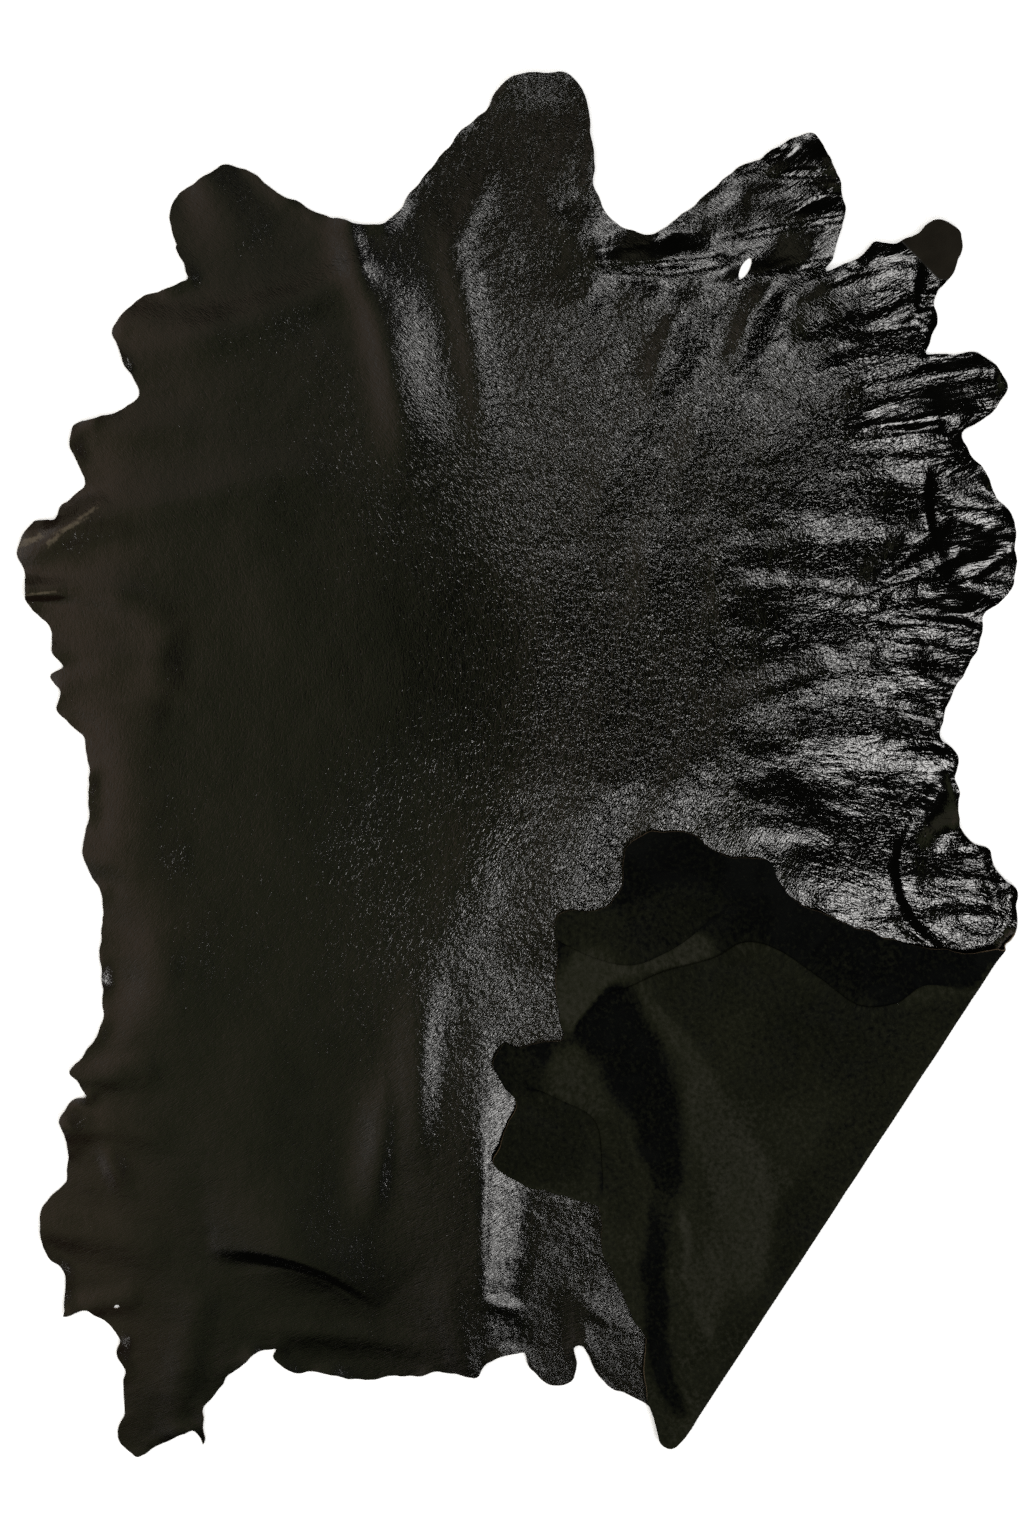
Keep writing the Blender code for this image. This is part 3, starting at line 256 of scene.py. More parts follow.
# sharp creases that run in from the right edge
FOLDS_CREASE = (
    Fold(29.6, 15.4, 37.4, 20.8,  -0.3, 0.2, 1.5, 1.2, 0.8, 0.35),
    Fold(28.8, 14.6, 38.8, 18.4,  -0.3, 0.2, 1.3, 1.4, 0.7, 0.35),
    Fold(30.0, 12.9, 41.2, 11.9,   0.4, 0.2, 1.4, 1.8, 0.5, 0.8),
    Fold(31.0, 8.9, 39.4, 6.9,     0.4, 0.2, 1.4, 1.8, 0.5, 0.8),
    Fold(32.0, 6.0, 37.6, 5.0,     0.2, 0.2, 1.2, 1.6, 0.4, 0.7),
    Fold(33.0, 2.6, 37.6, 2.2,     0.2, 0.2, 1.3, 1.6, 0.4, 0.8),
    Fold(36.0, 26.6, 36.9, 18.6,  -0.7, 0.5, 2.6, 0.8, 0.55, 2.8),
    Fold(36.8, 19.6, 43.6, 21.4,   0.2, 0.2, 1.0, 0.8, 0.6, 0.4),
    Fold(38.6, 16.0, 43.4, 18.6,   0.0, 0.2, 0.9, 0.7, 0.5, 0.3),
    Fold(29.4, 37.2, 36.0, 38.6,   0.1, 0.3, 1.6, 1.8, 0.7, 0.3),
    Fold(34.8, 42.9, 38.0, 43.3,   0.0, 0.6, 1.6, 1.4, 0.5, 0.5),
    Fold(34.8, 40.9, 37.0, 40.9,   0.0, 0.8, 1.8, 1.8, 0.5, 0.4),
    Fold(34.8, 39.4, 36.8, 39.6,   0.0, 0.8, 1.6, 1.6, 0.4, 0.4),
    Fold(34.8, 37.8, 36.2, 38.0,   0.0, 0.6, 1.4, 1.4, 0.5, 0.4),
    Fold(29.6, 28.8, 36.8, 29.8,  -0.1, 0.3, 1.6, 1.6, 0.4, 0.8),
    Fold(26.0, 30.8, 31.6, 33.0,   0.1, 0.3, 1.4, 1.0, 0.8, 0.4),
    Fold(18.4, 41.8, 27.0, 44.0,   0.2, 0.3, 1.4, 1.2, 0.6, 0.4),
    Fold(26.6, 50.4, 28.8, 50.2,   0.0, 0.6, 1.6, 1.6, 0.4, 0.4),
    Fold(33.8, -13.2, 38.4, -16.0, -0.4, 0.4, 1.8, 1.0, 0.9, 0.4),
)
# left of the folded corner: long grazing folds
FOLDS_REAR = (
    Fold(-2.0, -3.0, -6.6, -19.0,  0.4, 0.5, 2.4, 0.5, 4.2, 3.0),
    Fold(-7.2, -18.0, -8.6, -36.0, -0.4, 0.6, 3.8, 0.8, 1.6, 2.4),
    Fold(-11.4, -27.6, -12.6, -40.0, 0.3, 0.5, 3.6, 0.8, 1.1, 1.8),
    Fold(-3.0, -24.0, -3.4, -50.5, 0.0, 2.0, 4.4, 3.6, 2.9, 5.6),
    Fold(-2.3, -30.0, -2.6, -47.0, 0.0, 0.3, 0.9, 0.5, 0.5, 1.0),
    Fold(5.2, -45.6, 8.0, -56.0,   0.1, 0.6, 3.8, 1.8, 4.0, 1.4),
    Fold(6.0, -48.0, 9.8, -50.0,   0.0, 0.4, 1.4, 0.6, 0.9, 0.5),
    Fold(-3.4, -26.0, -3.8, -52.0, 0.0, 1.4, 4.4, 3.0, 8.0, 7.0),
    Fold(-2.6, -47.6, 1.0, -48.2,  0.0, 0.6, 1.6, 0.6, 0.5, 0.9),
)
# soft broad folds toward the left edge; walking inward, left is the upper flank
FOLDS_LEFT = (
    Fold(-34.0, 35.4, -14.0, 42.6, -0.6, 2.2, 2.2, 2.6, 1.6, 2.2),
    Fold(-14.6, 48.2, -12.6, 42.0, 0.0, 2.2, 2.4, 0.6, 0.8, 1.8),
    Fold(-39.0, 21.6, -18.0, 26.0, -0.5, 3.2, 2.0, 0.4, 1.6, 2.0),
    Fold(-42.6, 18.8, -39.0, 19.2, 0.0, 3.0, 2.6, 1.0, 0.8, 1.0),
    Fold(-38.0, 16.4, -30.0, 12.6, 0.6, 1.0, 2.2, 0.6, 2.0, 1.6),
    Fold(-30.6, 12.6, -31.4, 6.0,  0.6, 0.6, 2.2, 0.6, 1.6, 2.0),
    Fold(-39.2, 7.4, -34.0, 8.8,   0.0, 2.6, 1.6, 0.4, 1.0, 1.2),
    Fold(-35.4, 6.0, -33.4, -8.0,  0.5, 1.0, 2.6, 1.6, 4.0, 3.0),
    Fold(-34.4, -8.4, -31.2, -17.6, 1.2, 1.2, 2.4, 1.8, 5.0, 2.8),
    Fold(-31.4, -17.0, -35.6, -28.6, 0.9, 1.4, 2.4, 1.4, 5.0, 2.8),
    Fold(-41.0, 19.2, -35.0, 23.8, 0.0, 2.0, 3.2, 0.6, 0.9, 2.4),
    Fold(-27.0, 38.0, -20.0, 12.0, 0.6, 0.3, 0.9, 0.3, 3.4, 3.4),
    Fold(-37.6, -34.0, -41.0, -31.0, 0.0, 0.8, 2.6, 1.6, 1.2, 1.4),
    Fold(-36.4, -33.6, -34.8, -37.6, 0.0, 0.6, 2.2, 0.6, 1.2, 0.5),
    Fold(-28.8, -49.0, -30.6, -56.0, 0.3, 0.5, 0.9, 0.6, 1.6, 1.6),
    Fold(-33.0, -43.0, -25.0, -52.0, 0.5, 0.4, 1.0, 0.8, 1.8, 1.8),
    Fold(-22.0, -50.6, -8.0, -52.0, 0.4, 0.6, 2.2, 0.8, 1.2, 1.0),
)
# the sharpest ones: a lip beside a groove (a negative height is a groove)
FOLDS_SHARP = (
    Fold(-27.2, -42.9, -11.4, -48.2, 1.7, 0.2, 6.4, 0.2, 6.0, 0.9),
    Fold(-24.0, -44.9, -12.2, -49.6, 1.6, 0.1, 1.4, 0.1, 0.35, 1.2),
    Fold(37.4, -2.6, 37.2, -15.0,  -3.2, -0.6, -3.2, -1.6, 2.8, 0.5),
    Fold(35.6, 44.8, 34.8, 38.6,   -0.6, 0.6, 2.2, 1.0, 0.5, 2.6),
    Fold(-42.8, 14.9, -38.8, 15.2, 0.0, 1.0, 1.8, 0.5, 1.2, 0.3),
    Fold(35.0, 42.2, 38.4, 42.6, 0.0, 0.5, 1.3, 0.8, 0.5, 0.6),
    Fold(34.9, 40.4, 37.4, 40.7, 0.0, 0.5, 1.4, 1.0, 0.4, 0.5),
    Fold(34.8, 39.0, 37.2, 39.3, 0.1, 0.6, 1.3, 0.8, 0.4, 0.4),
)
FOLDS_SPREAD = FOLDS_SHARP + FOLDS_NECK + FOLDS_SHOULDER + FOLDS_FLANK + FOLDS_CREASE + FOLDS_REAR + FOLDS_LEFT

# Where the skin was stretched over the frame its grain is pulled nearly flat and
# shines like lacquer. A zone is an oval, full in the middle and fading outward.
Zone = namedtuple("Zone", "x y across up turn full")
STRETCHED = (
    Zone(44.5, 18.0, 14.0, 27.0, 0, 0.85),
    Zone(33.0, -6.0, 17.0, 10.0, 0, 0.75),
    Zone(25.5, 15.5, 9.0, 8.0, 0, 0.50),
    Zone(17.0, 36.0, 8.0, 5.0, 0, 0.30),
    Zone(17.0, 46.5, 15.0, 6.0, 12, 0.85),
    Zone(32.0, 42.0, 12.0, 7.0, 20, 0.80),
    Zone(-0.6, -39.0, 2.3, 14.0, 2, 0.85),
    Zone(7.6, -44.0, 5.0, 10.0, 12, 0.30),
    Zone(-8.0, 36.0, 6.0, 12.0, 8, 0.30),
    Zone(-6.0, 6.0, 7.0, 20.0, 0, 0.45),
    # smooth, quite plain skin
    Zone(35.0, 46.0, 5.2, 2.4, 10, 1.45),
    Zone(24.6, 53.2, 3.6, 1.8, 18, 1.40),
    Zone(12.0, 44.9, 5.6, 1.0, 6, 1.40),
    Zone(26.8, 48.6, 2.6, 0.8, 12, 1.40),
    Zone(21.4, 43.6, 3.6, 1.2, 4, 1.25),
    Zone(35.0, 31.2, 5.6, 1.7, 14, 1.45),
    Zone(38.6, 35.6, 3.4, 1.0, -4, 1.35),
    Zone(37.6, -3.0, 1.5, 3.4, 0, 1.45),
    Zone(41.0, 19.2, 3.4, 2.4, 0, 1.45),
    Zone(39.4, 14.8, 2.6, 2.0, 0, 1.40),
    Zone(5.0, 45.6, 2.4, 4.4, 0, 0.50),
)

# ------------------------------------------- low ridges toward the left edge (cm)
# A row is one ridge from (x0, y0) to (x1, y1); its height goes from h0 to h1 and
# its half width from w0 to w1. Ridges grow toward the edge, where the skin was
# stretched, and vanish inside it.
Ridge = namedtuple("Ridge", "x0 y0 x1 y1 h0 h1 w0 w1")

RIDGES_LEFT = (
    Ridge(-22.0, 45.0, -26.0, 51.0, 0.15, 0.55, 2.4, 1.8),
    Ridge(-24.0, 38.0, -33.8, 38.6, 0.15, 0.55, 2.2, 1.4),
    Ridge(-27.0, 29.5, -37.6, 29.0, 0.15, 0.50, 2.0, 1.2),
    Ridge(-33.0, 20.5, -42.0, 20.4, 0.15, 0.75, 1.4, 1.0),
    Ridge(-33.0, 15.0, -42.0, 15.6, 0.15, 0.60, 1.3, 0.9),
    Ridge(-30.0, 9.0, -39.8, 9.8, 0.15, 0.50, 1.6, 1.0),
    Ridge(-30.0, 4.5, -39.4, 5.6, 0.15, 0.50, 1.6, 1.0),
    Ridge(-28.0, -8.0, -37.4, -7.4, 0.12, 0.45, 2.0, 1.4),
    Ridge(-29.0, -18.0, -36.2, -16.0, 0.12, 0.40, 2.0, 1.5),
)
RIDGES_REAR = (
    Ridge(-31.0, -27.0, -39.0, -27.4, 0.15, 0.60, 1.5, 1.0),
    Ridge(-30.0, -33.0, -39.6, -31.4, 0.15, 0.60, 1.6, 1.1),
    Ridge(-30.0, -43.5, -41.8, -41.2, 0.15, 0.65, 1.8, 1.5),
    Ridge(-27.0, -46.0, -30.5, -59.0, 0.10, 0.25, 1.6, 1.6),
    Ridge(-33.0, -47.0, -39.4, -48.4, 0.20, 0.50, 1.2, 0.9),
    Ridge(-6.0, -46.0, -4.0, -54.0, 0.15, 0.35, 1.6, 1.2),
)
# on the folded corner, in plan as it lies on top
FOLDS_CORNER = (
    Fold(5.4, -24.4, 11.2, -34.0,  -0.5, 1.2, 3.4, 1.2, 2.2, 1.4),
    Fold(12.4, -20.6, 17.6, -35.0, -0.4, 0.8, 3.4, 0.8, 2.2, 2.6),
    Fold(14.2, -42.5, 14.8, -48.5,  0.0, 0.6, 2.4, 0.4, 0.9, 1.2),
    Fold(15.2, -50.0, 16.4, -56.0,  0.0, 0.6, 2.2, 0.6, 0.9, 1.1),
    Fold(11.2, -42.0, 11.8, -57.0, -0.2, 0.8, 2.4, 1.4, 1.0, 1.2),
    Fold(11.0, -7.5, 15.0, -13.0,   0.2, 2.4, 2.6, 0.8, 1.6, 1.8),
    Fold(18.6, -9.0, 21.5, -14.0,   0.0, 2.0, 2.2, 0.8, 1.5, 1.4),
    Fold(-1.0, -34.5, 5.0, -33.0,   0.0, 2.6, 2.2, 0.8, 1.4, 1.5),
    Fold(-1.0, -25.5, 4.0, -27.5,   0.0, 2.4, 2.2, 0.8, 1.0, 1.2),
    Fold(27.0, -13.5, 28.0, -18.6,  0.0, 1.6, 2.2, 0.8, 1.5, 1.6),
    Fold(34.5, -16.6, 33.5, -22.0,  0.0, 1.6, 2.4, 0.8, 1.6, 1.6),
    Fold(21.0, -24.0, 27.0, -34.0,  0.4, 0.6, 1.8, 0.6, 2.6, 2.6),
    Fold(16.0, -34.0, 20.0, -46.0,  0.4, 0.6, 1.8, 0.6, 2.4, 2.4),
    Fold(6.2, -22.6, 9.6, -25.6,    0.1, 0.4, 1.4, 0.4, 0.5, 0.5),
    Fold(13.4, -15.4, 16.2, -17.2,  0.0, 0.6, 1.6, 0.6, 0.8, 0.6),
)
# Tone of the nap there, zone over zone: 1 is velvety black, 0 plain olive and
# below 0 brushed paler. Some zones are painted shade in the valleys between the corner's ridges and painted
# highlights along their crests.
NAP_TONES_AND_SHADING = (
    Zone(22.0, -22.6, 11.0, 6.0, -30, 0.30),
    Zone(30.0, -24.0, 7.0, 4.0, -10, 0.45),
    Zone(28.0, -36.5, 15.0, 2.4, 57.7, 0.42),
    Zone(7.6, -14.6, 4.6, 2.4, -14, 0.40),
    Zone(14.6, -13.4, 5.0, 3.0, 10, 0.62),
    Zone(6.2, -19.6, 2.8, 4.2, -22, -0.45),
    Zone(11.4, -17.3, 3.6, 0.8, 14, -0.35),
    Zone(15.8, -15.9, 1.9, 1.2, 0, -0.40),
    Zone(14.9, -24.6, 7.0, 0.8, -52, -0.30),
    Zone(18.6, -33.4, 7.5, 2.6, -62, -0.38),
    Zone(20.6, -40.0, 7.0, 2.4, -88, -0.48),
    Zone(18.0, -45.0, 5.0, 1.8, 80, -0.30),
    Zone(13.2, -38.6, 4.6, 1.2, -86, 0.50),
    Zone(6.0, -28.2, 3.8, 1.5, -58, -0.25),
    Zone(0.9, -27.0, 2.0, 2.6, 30, 0.65),
    Zone(2.6, -33.0, 5.4, 4.0, 0, 0.40),
    Zone(9.4, -36.0, 1.8, 5.0, 10, 0.30),
    # painted shade in the valley between the corner's ridges
    Zone(12.8, -46.0, 6.6, 1.2, -88, 1.0),
    Zone(13.0, -52.6, 4.4, 1.1, -74, 1.0),
    Zone(14.8, -56.4, 1.8, 0.8, -50, 0.90),
    # painted highlights along the corner's ridge crests
    Zone(15.4, -42.4, 3.4, 0.35, -84, -0.80),
    Zone(17.0, -49.4, 2.2, 0.5, -62, -0.60),
    Zone(34.0, -22.8, 7.5, 1.6, 12, 0.45),
)

# painted shade: the nap made near black in the valley beside the corner's first ridge, cut off sharply along its
# tail side at the ridge
VALLEY_SHADE_ZONES = (
    Zone(8.0, -22.4, 3.6, 3.0, -50, 1.0),
    Zone(10.6, -25.6, 8.6, 3.0, -66, 1.0),
    Zone(12.9, -33.2, 5.0, 1.6, -74, 0.95),
)

# --------------------------- tucks: where the skin is lapped over itself (cm)
# The path of a tuck is its upper lip. The side on the left of the path, walking
# from its first row to its last, stands high by `rise` and sinks back over `back`.
Tuck = namedtuple("Tuck", "name rise back path")
Stop = namedtuple("Stop", "x y")

TUCK_CORNER_LOW = Tuck("corner_low", 0.42, 5.0, (
    Stop(40.5, -19.6), Stop(36.5, -19.0), Stop(33.8, -20.8), Stop(30.5, -21.2),
    Stop(27.0, -18.8), Stop(23.5, -16.4), Stop(20.6, -15.6), Stop(17.8, -17.0),
    Stop(13.4, -18.2), Stop(10.4, -19.4), Stop(8.0, -20.2), Stop(5.4, -24.0),
))
# where the velvety outer band of the corner ends: along its tuck, then to the edge
NAP_EDGE = (
    Stop(44.0, -17.2), Stop(40.5, -19.2), Stop(36.5, -19.0), Stop(33.8, -20.8),
    Stop(30.5, -21.2), Stop(27.0, -18.8), Stop(23.5, -16.2), Stop(20.0, -15.2),
    Stop(17.6, -16.5), Stop(13.0, -16.9), Stop(9.0, -18.8), Stop(5.5, -24.0),
    Stop(2.0, -27.0),
)

RIDGES_SPREAD = RIDGES_LEFT + RIDGES_REAR
VALLEY_SHADE_EDGE = (
    Stop(12.6, -19.4), Stop(10.4, -18.9), Stop(8.5, -19.1), Stop(6.8, -21.2), Stop(5.4, -23.4),
    Stop(7.4, -26.8), Stop(9.0, -30.0), Stop(11.0, -33.4), Stop(12.2, -37.0), Stop(12.2, -40.0),
)
TUCK_CORNER_RIBBON = Tuck("corner_ribbon", 0.30, 3.4, (
    Stop(1.6, -14.2), Stop(5.0, -15.5), Stop(8.6, -16.8), Stop(10.8, -17.0), Stop(12.9, -16.2),
    Stop(16.0, -14.4), Stop(19.0, -12.2),
))
TUCK_CORNER_LOBE = Tuck("corner_lobe", 0.34, 3.0, (
    Stop(0.6, -28.2), Stop(4.0, -29.0), Stop(7.2, -30.6), Stop(8.2, -33.4), Stop(7.9, -38.4),
))
TUCKS_CORNER = (TUCK_CORNER_LOW, TUCK_CORNER_RIBBON, TUCK_CORNER_LOBE)


# ------------------------------------------------------------ the fold's frame
CM = 0.01
MM = 0.001
ALONG = np.array(FOLD_TIP) - np.array(FOLD_TOP)
FOLD_LENGTH = float(np.hypot(*ALONG)) * CM
ALONG = ALONG / np.hypot(*ALONG)
OUTWARD = np.array((-ALONG[1], ALONG[0]))
REACH = FOLD_RADIUS + THICK / 2
AXIS = np.array(FOLD_TOP) * CM - OUTWARD * REACH
ARC = math.pi * FOLD_RADIUS


def from_axis(xy):
    return (xy - AXIS) @ OUTWARD


def unfolded(xy):
    inward = -from_axis(xy)
    s = np.where(inward >= 0, ARC + inward, ARC * (1 + 0.5 * inward / REACH))
    return xy + OUTWARD * (s + inward)[:, None]


# ------------------------------------------------------------------ relief
def smooth(t):
    t = np.clip(t, 0.0, 1.0)
    return t * t * (3 - 2 * t)


def waves(xy, size, seed, octaves=1):
    """Gradient noise over the plan, about -1..1, with its largest features `size` across."""
    out = np.zeros(len(xy))
    for k in range(octaves):
        p = xy * (2.0 ** k / size) + (seed * 1.7 + 13.1 * k, seed * 0.9 - 7.7 * k)
        cell = np.floor(p).astype(np.int64)
        f = p - cell
        u = f * f * f * (f * (f * 6 - 15) + 10)

        def corner(a, b):
            n = (cell[:, 0] + a) * 374761393 + (cell[:, 1] + b) * 668265263 + int(seed * 1000) * 974711
            n = (n ^ (n >> 13)) * 1274126177 & 0x7FFFFFFF
            t = (n ^ (n >> 16)) % 4096 * (2 * math.pi / 4096)
            return np.cos(t) * (f[:, 0] - a) + np.sin(t) * (f[:, 1] - b)

        low = corner(0, 0) * (1 - u[:, 0]) + corner(1, 0) * u[:, 0]
        high = corner(0, 1) * (1 - u[:, 0]) + corner(1, 1) * u[:, 0]
        out += 1.5 * 0.5 ** k * (low * (1 - u[:, 1]) + high * u[:, 1])
    return out


def fold_line(f, steps):
    a, b = np.array((f.x0, f.y0)) * CM, np.array((f.x1, f.y1)) * CM
    run = b - a
    left = np.array((-run[1], run[0])) / np.hypot(*run)
    mid = (a + b) / 2 + left * 2 * f.bow * CM
    t = np.linspace(0, 1, steps)[:, None]
    return a * (1 - t) ** 2 + 2 * mid * t * (1 - t) + b * t * t


def fold_rows(folds, offsets):
    """Pattern points in rows beside sharp folds, so the mesh follows their lips."""
    out = []
    for f in folds:
        steps = max(4, int(math.hypot(f.x1 - f.x0, f.y1 - f.y0) * CM / ALONG_STEP))
        line = Line(fold_line(f, steps))
        out += [line.p + line.left * off * CM for off in offsets]
    return np.vstack(out)


def fold_height(xy, folds):
    total = np.zeros(len(xy))
    for f in folds:
        line = fold_line(f, 17)
        reach = 2.6 * max(f.left, f.right) * CM
        near = np.flatnonzero(((xy > line.min(axis=0) - reach) & (xy < line.max(axis=0) + reach)).all(axis=1))
        if not len(near):
            continue
        p = xy[near]
        best, side, share = np.full(len(near), 1e9), np.zeros(len(near)), np.zeros(len(near))
        for i in range(16):
            seg = line[i + 1] - line[i]
            v = np.clip(((p - line[i]) @ seg) / (seg @ seg), 0.0, 1.0)
            off = p - line[i] - v[:, None] * seg
            d = np.hypot(*off.T)
            k = d < best
            best[k] = d[k]
            side[k] = ((seg[0] * off[:, 1] - seg[1] * off[:, 0]) / np.hypot(*seg))[k]
            share[k] = (i + v[k]) / 16
        lean = side / np.maximum(best, 1e-9)
        wide = (f.right + (f.left - f.right) * smooth(0.5 + 0.5 * lean)) * CM
        high = (f.h0 * (1 - share) * (1 - 2 * share) + f.hm * 4 * share * (1 - share)
                + f.h1 * share * (2 * share - 1))
        total[near] += high * MM * np.exp(-(best / wide) ** 2)
    return total


def zone_share(xy, z, soft=0.3):
    c, s = math.cos(math.radians(z.turn)), math.sin(math.radians(z.turn))
    d = xy / CM - (z.x, z.y)
    far = np.hypot((d[:, 0] * c + d[:, 1] * s) / z.across, (d[:, 1] * c - d[:, 0] * s) / z.up)
    return smooth((1 + soft - far) / (2 * soft))


def stretched(xy):
    wavy = xy + 0.008 * np.column_stack((waves(xy, 0.05, 61.0), waves(xy, 0.05, 67.0)))
    out = np.zeros(len(xy))
    for z in STRETCHED:
        out = np.maximum(out, z.full * zone_share(wavy, z))
    return out


def ridge_height(xy, ridges):
    total = np.zeros(len(xy))
    for r in ridges:
        a, b = np.array((r.x0, r.y0)) * CM, np.array((r.x1, r.y1)) * CM
        run = b - a
        length = float(np.hypot(*run))
        u = ((xy - a) @ run) / length ** 2
        v = np.clip(u, 0.0, 1.0)
        side = np.hypot(*(xy - a - v[:, None] * run).T)
        width = (r.w0 + (r.w1 - r.w0) * v) * CM
        height = (r.h0 + (r.h1 - r.h0) * v ** 1.5) * CM
        total += height * np.exp(-(side / width) ** 2) * smooth((v + 0.02) / 0.3 + 0.35)
    return np.maximum(total - FLAT_BELOW, 0.0) * RIDGE_SHARE


def curve_through(stops, step):
    p = np.array([(s.x, s.y) for s in stops]) * CM
    p = np.vstack((2 * p[0] - p[1], p, 2 * p[-1] - p[-2]))
    out = []
    for i in range(1, len(p) - 2):
        n = max(2, int(round(np.hypot(*(p[i + 1] - p[i])) / step)))
        for t in np.arange(n) / n:
            out.append(0.5 * (2 * p[i] + (p[i + 1] - p[i - 1]) * t
                              + (2 * p[i - 1] - 5 * p[i] + 4 * p[i + 1] - p[i + 2]) * t * t
                              + (3 * p[i] - p[i - 1] - 3 * p[i + 1] + p[i + 2]) * t ** 3))
    out.append(p[-2])
    return np.array(out)


class Line:
    """A sampled open line that answers side, share and left normal for nearby points."""

    def __init__(self, pts):
        self.p = pts
        seg = np.diff(pts, axis=0)
        self.run = np.hypot(*seg.T)
        self.seg = seg
        self.at = np.concatenate(((0.0,), np.cumsum(self.run)))
        tang = np.gradient(pts, axis=0)
        tang /= np.hypot(*tang.T)[:, None]
        self.left = np.column_stack((-tang[:, 1], tang[:, 0]))

    def beside(self, xy):
        best = np.full(len(xy), 1e9)
        signed = np.zeros(len(xy))
        share = np.zeros(len(xy))
        left = np.zeros((len(xy), 2))
        for i in range(len(self.seg)):
            v = np.clip(((xy - self.p[i]) @ self.seg[i]) / self.run[i] ** 2, 0.0, 1.0)
            off = xy - self.p[i] - v[:, None] * self.seg[i]
            d = np.hypot(*off.T)
            near = d < best
            if not near.any():
                continue
            cross = self.seg[i][0] * off[:, 1] - self.seg[i][1] * off[:, 0]
            best[near] = d[near]
            signed[near] = (np.sign(cross) * d)[near]
            share[near] = ((self.at[i] + v * self.run[i]) / self.at[-1])[near]
            n = self.left[i] * (1 - v)[:, None] + self.left[i + 1] * v[:, None]
            left[near] = n[near]
        return signed, share, left


# --------------------------------------------------------------- tucks, lapped
LAP_HALF = 0.0095       # flat skin taken up on each side of a tuck's lip
LAP_UNDER = 0.0050      # how far the skin runs back under itself
LAP_LIP = 0.0026        # how far the lip stands over the lower skin


def lap_section(rise):
    """Half-open S of a tuck: (flat offset, plan offset, height), low side first."""
    r = rise / 4
    path = []
    x0, x1 = LAP_UNDER - r, -LAP_LIP + r
    for x in np.linspace(-LAP_HALF, x0, 6):
        path.append((x, 0.0))
    for a in np.linspace(-90, 90, 7)[1:-1]:
        path.append((x0 + r * math.cos(math.radians(a)), r + r * math.sin(math.radians(a))))
    for x in np.linspace(x0, x1, 4):
        path.append((x, 2 * r))
    for a in np.linspace(-90, -270, 7)[1:-1]:
        path.append((x1 + r * math.cos(math.radians(a)), 3 * r + r * math.sin(math.radians(a))))
    for x in np.linspace(x1, LAP_HALF, 6):
        path.append((x, 4 * r))
    path = np.array(path)
    run = np.concatenate(((0.0,), np.cumsum(np.hypot(*np.diff(path, axis=0).T))))
    flat = -LAP_HALF + run / run[-1] * 2 * LAP_HALF
    return flat, path[:, 0], path[:, 1]


class Lap:
    def __init__(self, tuck):
        self.rise = tuck.rise * CM
        self.back = tuck.back * CM
        self.line = Line(curve_through(tuck.path, 0.002))
        self.flat, self.plan, self.high = lap_section(self.rise)

    def shape(self, xy):
        """Sideways shift (x, y) and height that the tuck gives to plan points."""
        shift = np.zeros((len(xy), 2))
        height = np.zeros(len(xy))
        lo, hi = self.line.p.min(axis=0) - self.back - 0.02, self.line.p.max(axis=0) + self.back + 0.02
        near = np.flatnonzero(((xy > lo) & (xy < hi)).all(axis=1))
        if not len(near):
            return shift, height
        side, share, left = self.line.beside(xy[near])
        ends = smooth(share / 0.30) * smooth((1 - share) / 0.30)
        inner = np.abs(side) < LAP_HALF
        p = np.where(inner, np.interp(side, self.flat, self.plan), side)
        h = np.where(inner, np.interp(side, self.flat, self.high), np.where(side > 0, self.rise, 0.0))
        sink = (1 - np.clip((side - LAP_HALF) / (self.back - LAP_HALF), 0, 1)) ** 2
        shift[near] = left * ((p - side) * ends)[:, None]
        height[near] = h * ends * np.where(side > LAP_HALF, sink, 1.0)
        return shift, height

    def rows(self):
        """Pattern points in rows along the tuck, one row for each bend of its section."""
        every = max(1, int(round(ALONG_STEP / 0.002)))
        pick, left = self.line.p[::every], self.line.left[::every]
        out = np.vstack([pick + left * f for f in self.flat])
        return unfolded(out)


LAPS = [Lap(t) for t in TUCKS_CORNER]


def add_laps(plan, laps):
    shift, height = np.zeros((len(plan), 2)), np.zeros(len(plan))
    for lap in laps:
        s, h = lap.shape(plan)
        shift += s
        height += h
    return shift, height


def nap_tone_and_shade(xy):
    """Tone of the underside where it lies on top, from the nap tone zones, with painted shade along the tucks and
    the corner's valleys and painted highlights on its ridges.
    """
    wavy = xy + 0.005 * np.column_stack((waves(xy, 0.04, 71.0, 2), waves(xy, 0.04, 77.0, 2)))
    side = Line(curve_through(NAP_EDGE, 0.004)).beside(xy)[0]
    tone = smooth(0.5 - side / 0.006)
    for z in NAP_TONES_AND_SHADING:
        tone += (z.full - tone) * zone_share(wavy, z, 0.30)
    front = smooth(0.5 + Line(curve_through(VALLEY_SHADE_EDGE, 0.004)).beside(xy)[0] / 0.004)
    for z in VALLEY_SHADE_ZONES:
        tone += (z.full - tone) * zone_share(wavy, z, 0.25) * front
    # painted shadow: the nap is darkened along each tuck's lip, widest on its low side
    for lap in LAPS:
        side, share, _ = lap.line.beside(xy)
        near = np.exp(-(side / np.where(side > 0, 0.0012, 0.0034)) ** 2)
        tone += (1.5 - tone) * near * smooth(share / 0.12) * smooth((1 - share) / 0.12)
    return tone


def wander(xy):
    """Small sideways drift, so that no fold runs dead straight."""
    return xy + 0.006 * np.column_stack((waves(xy, 0.09, 3.1), waves(xy, 0.09, 11.7)))


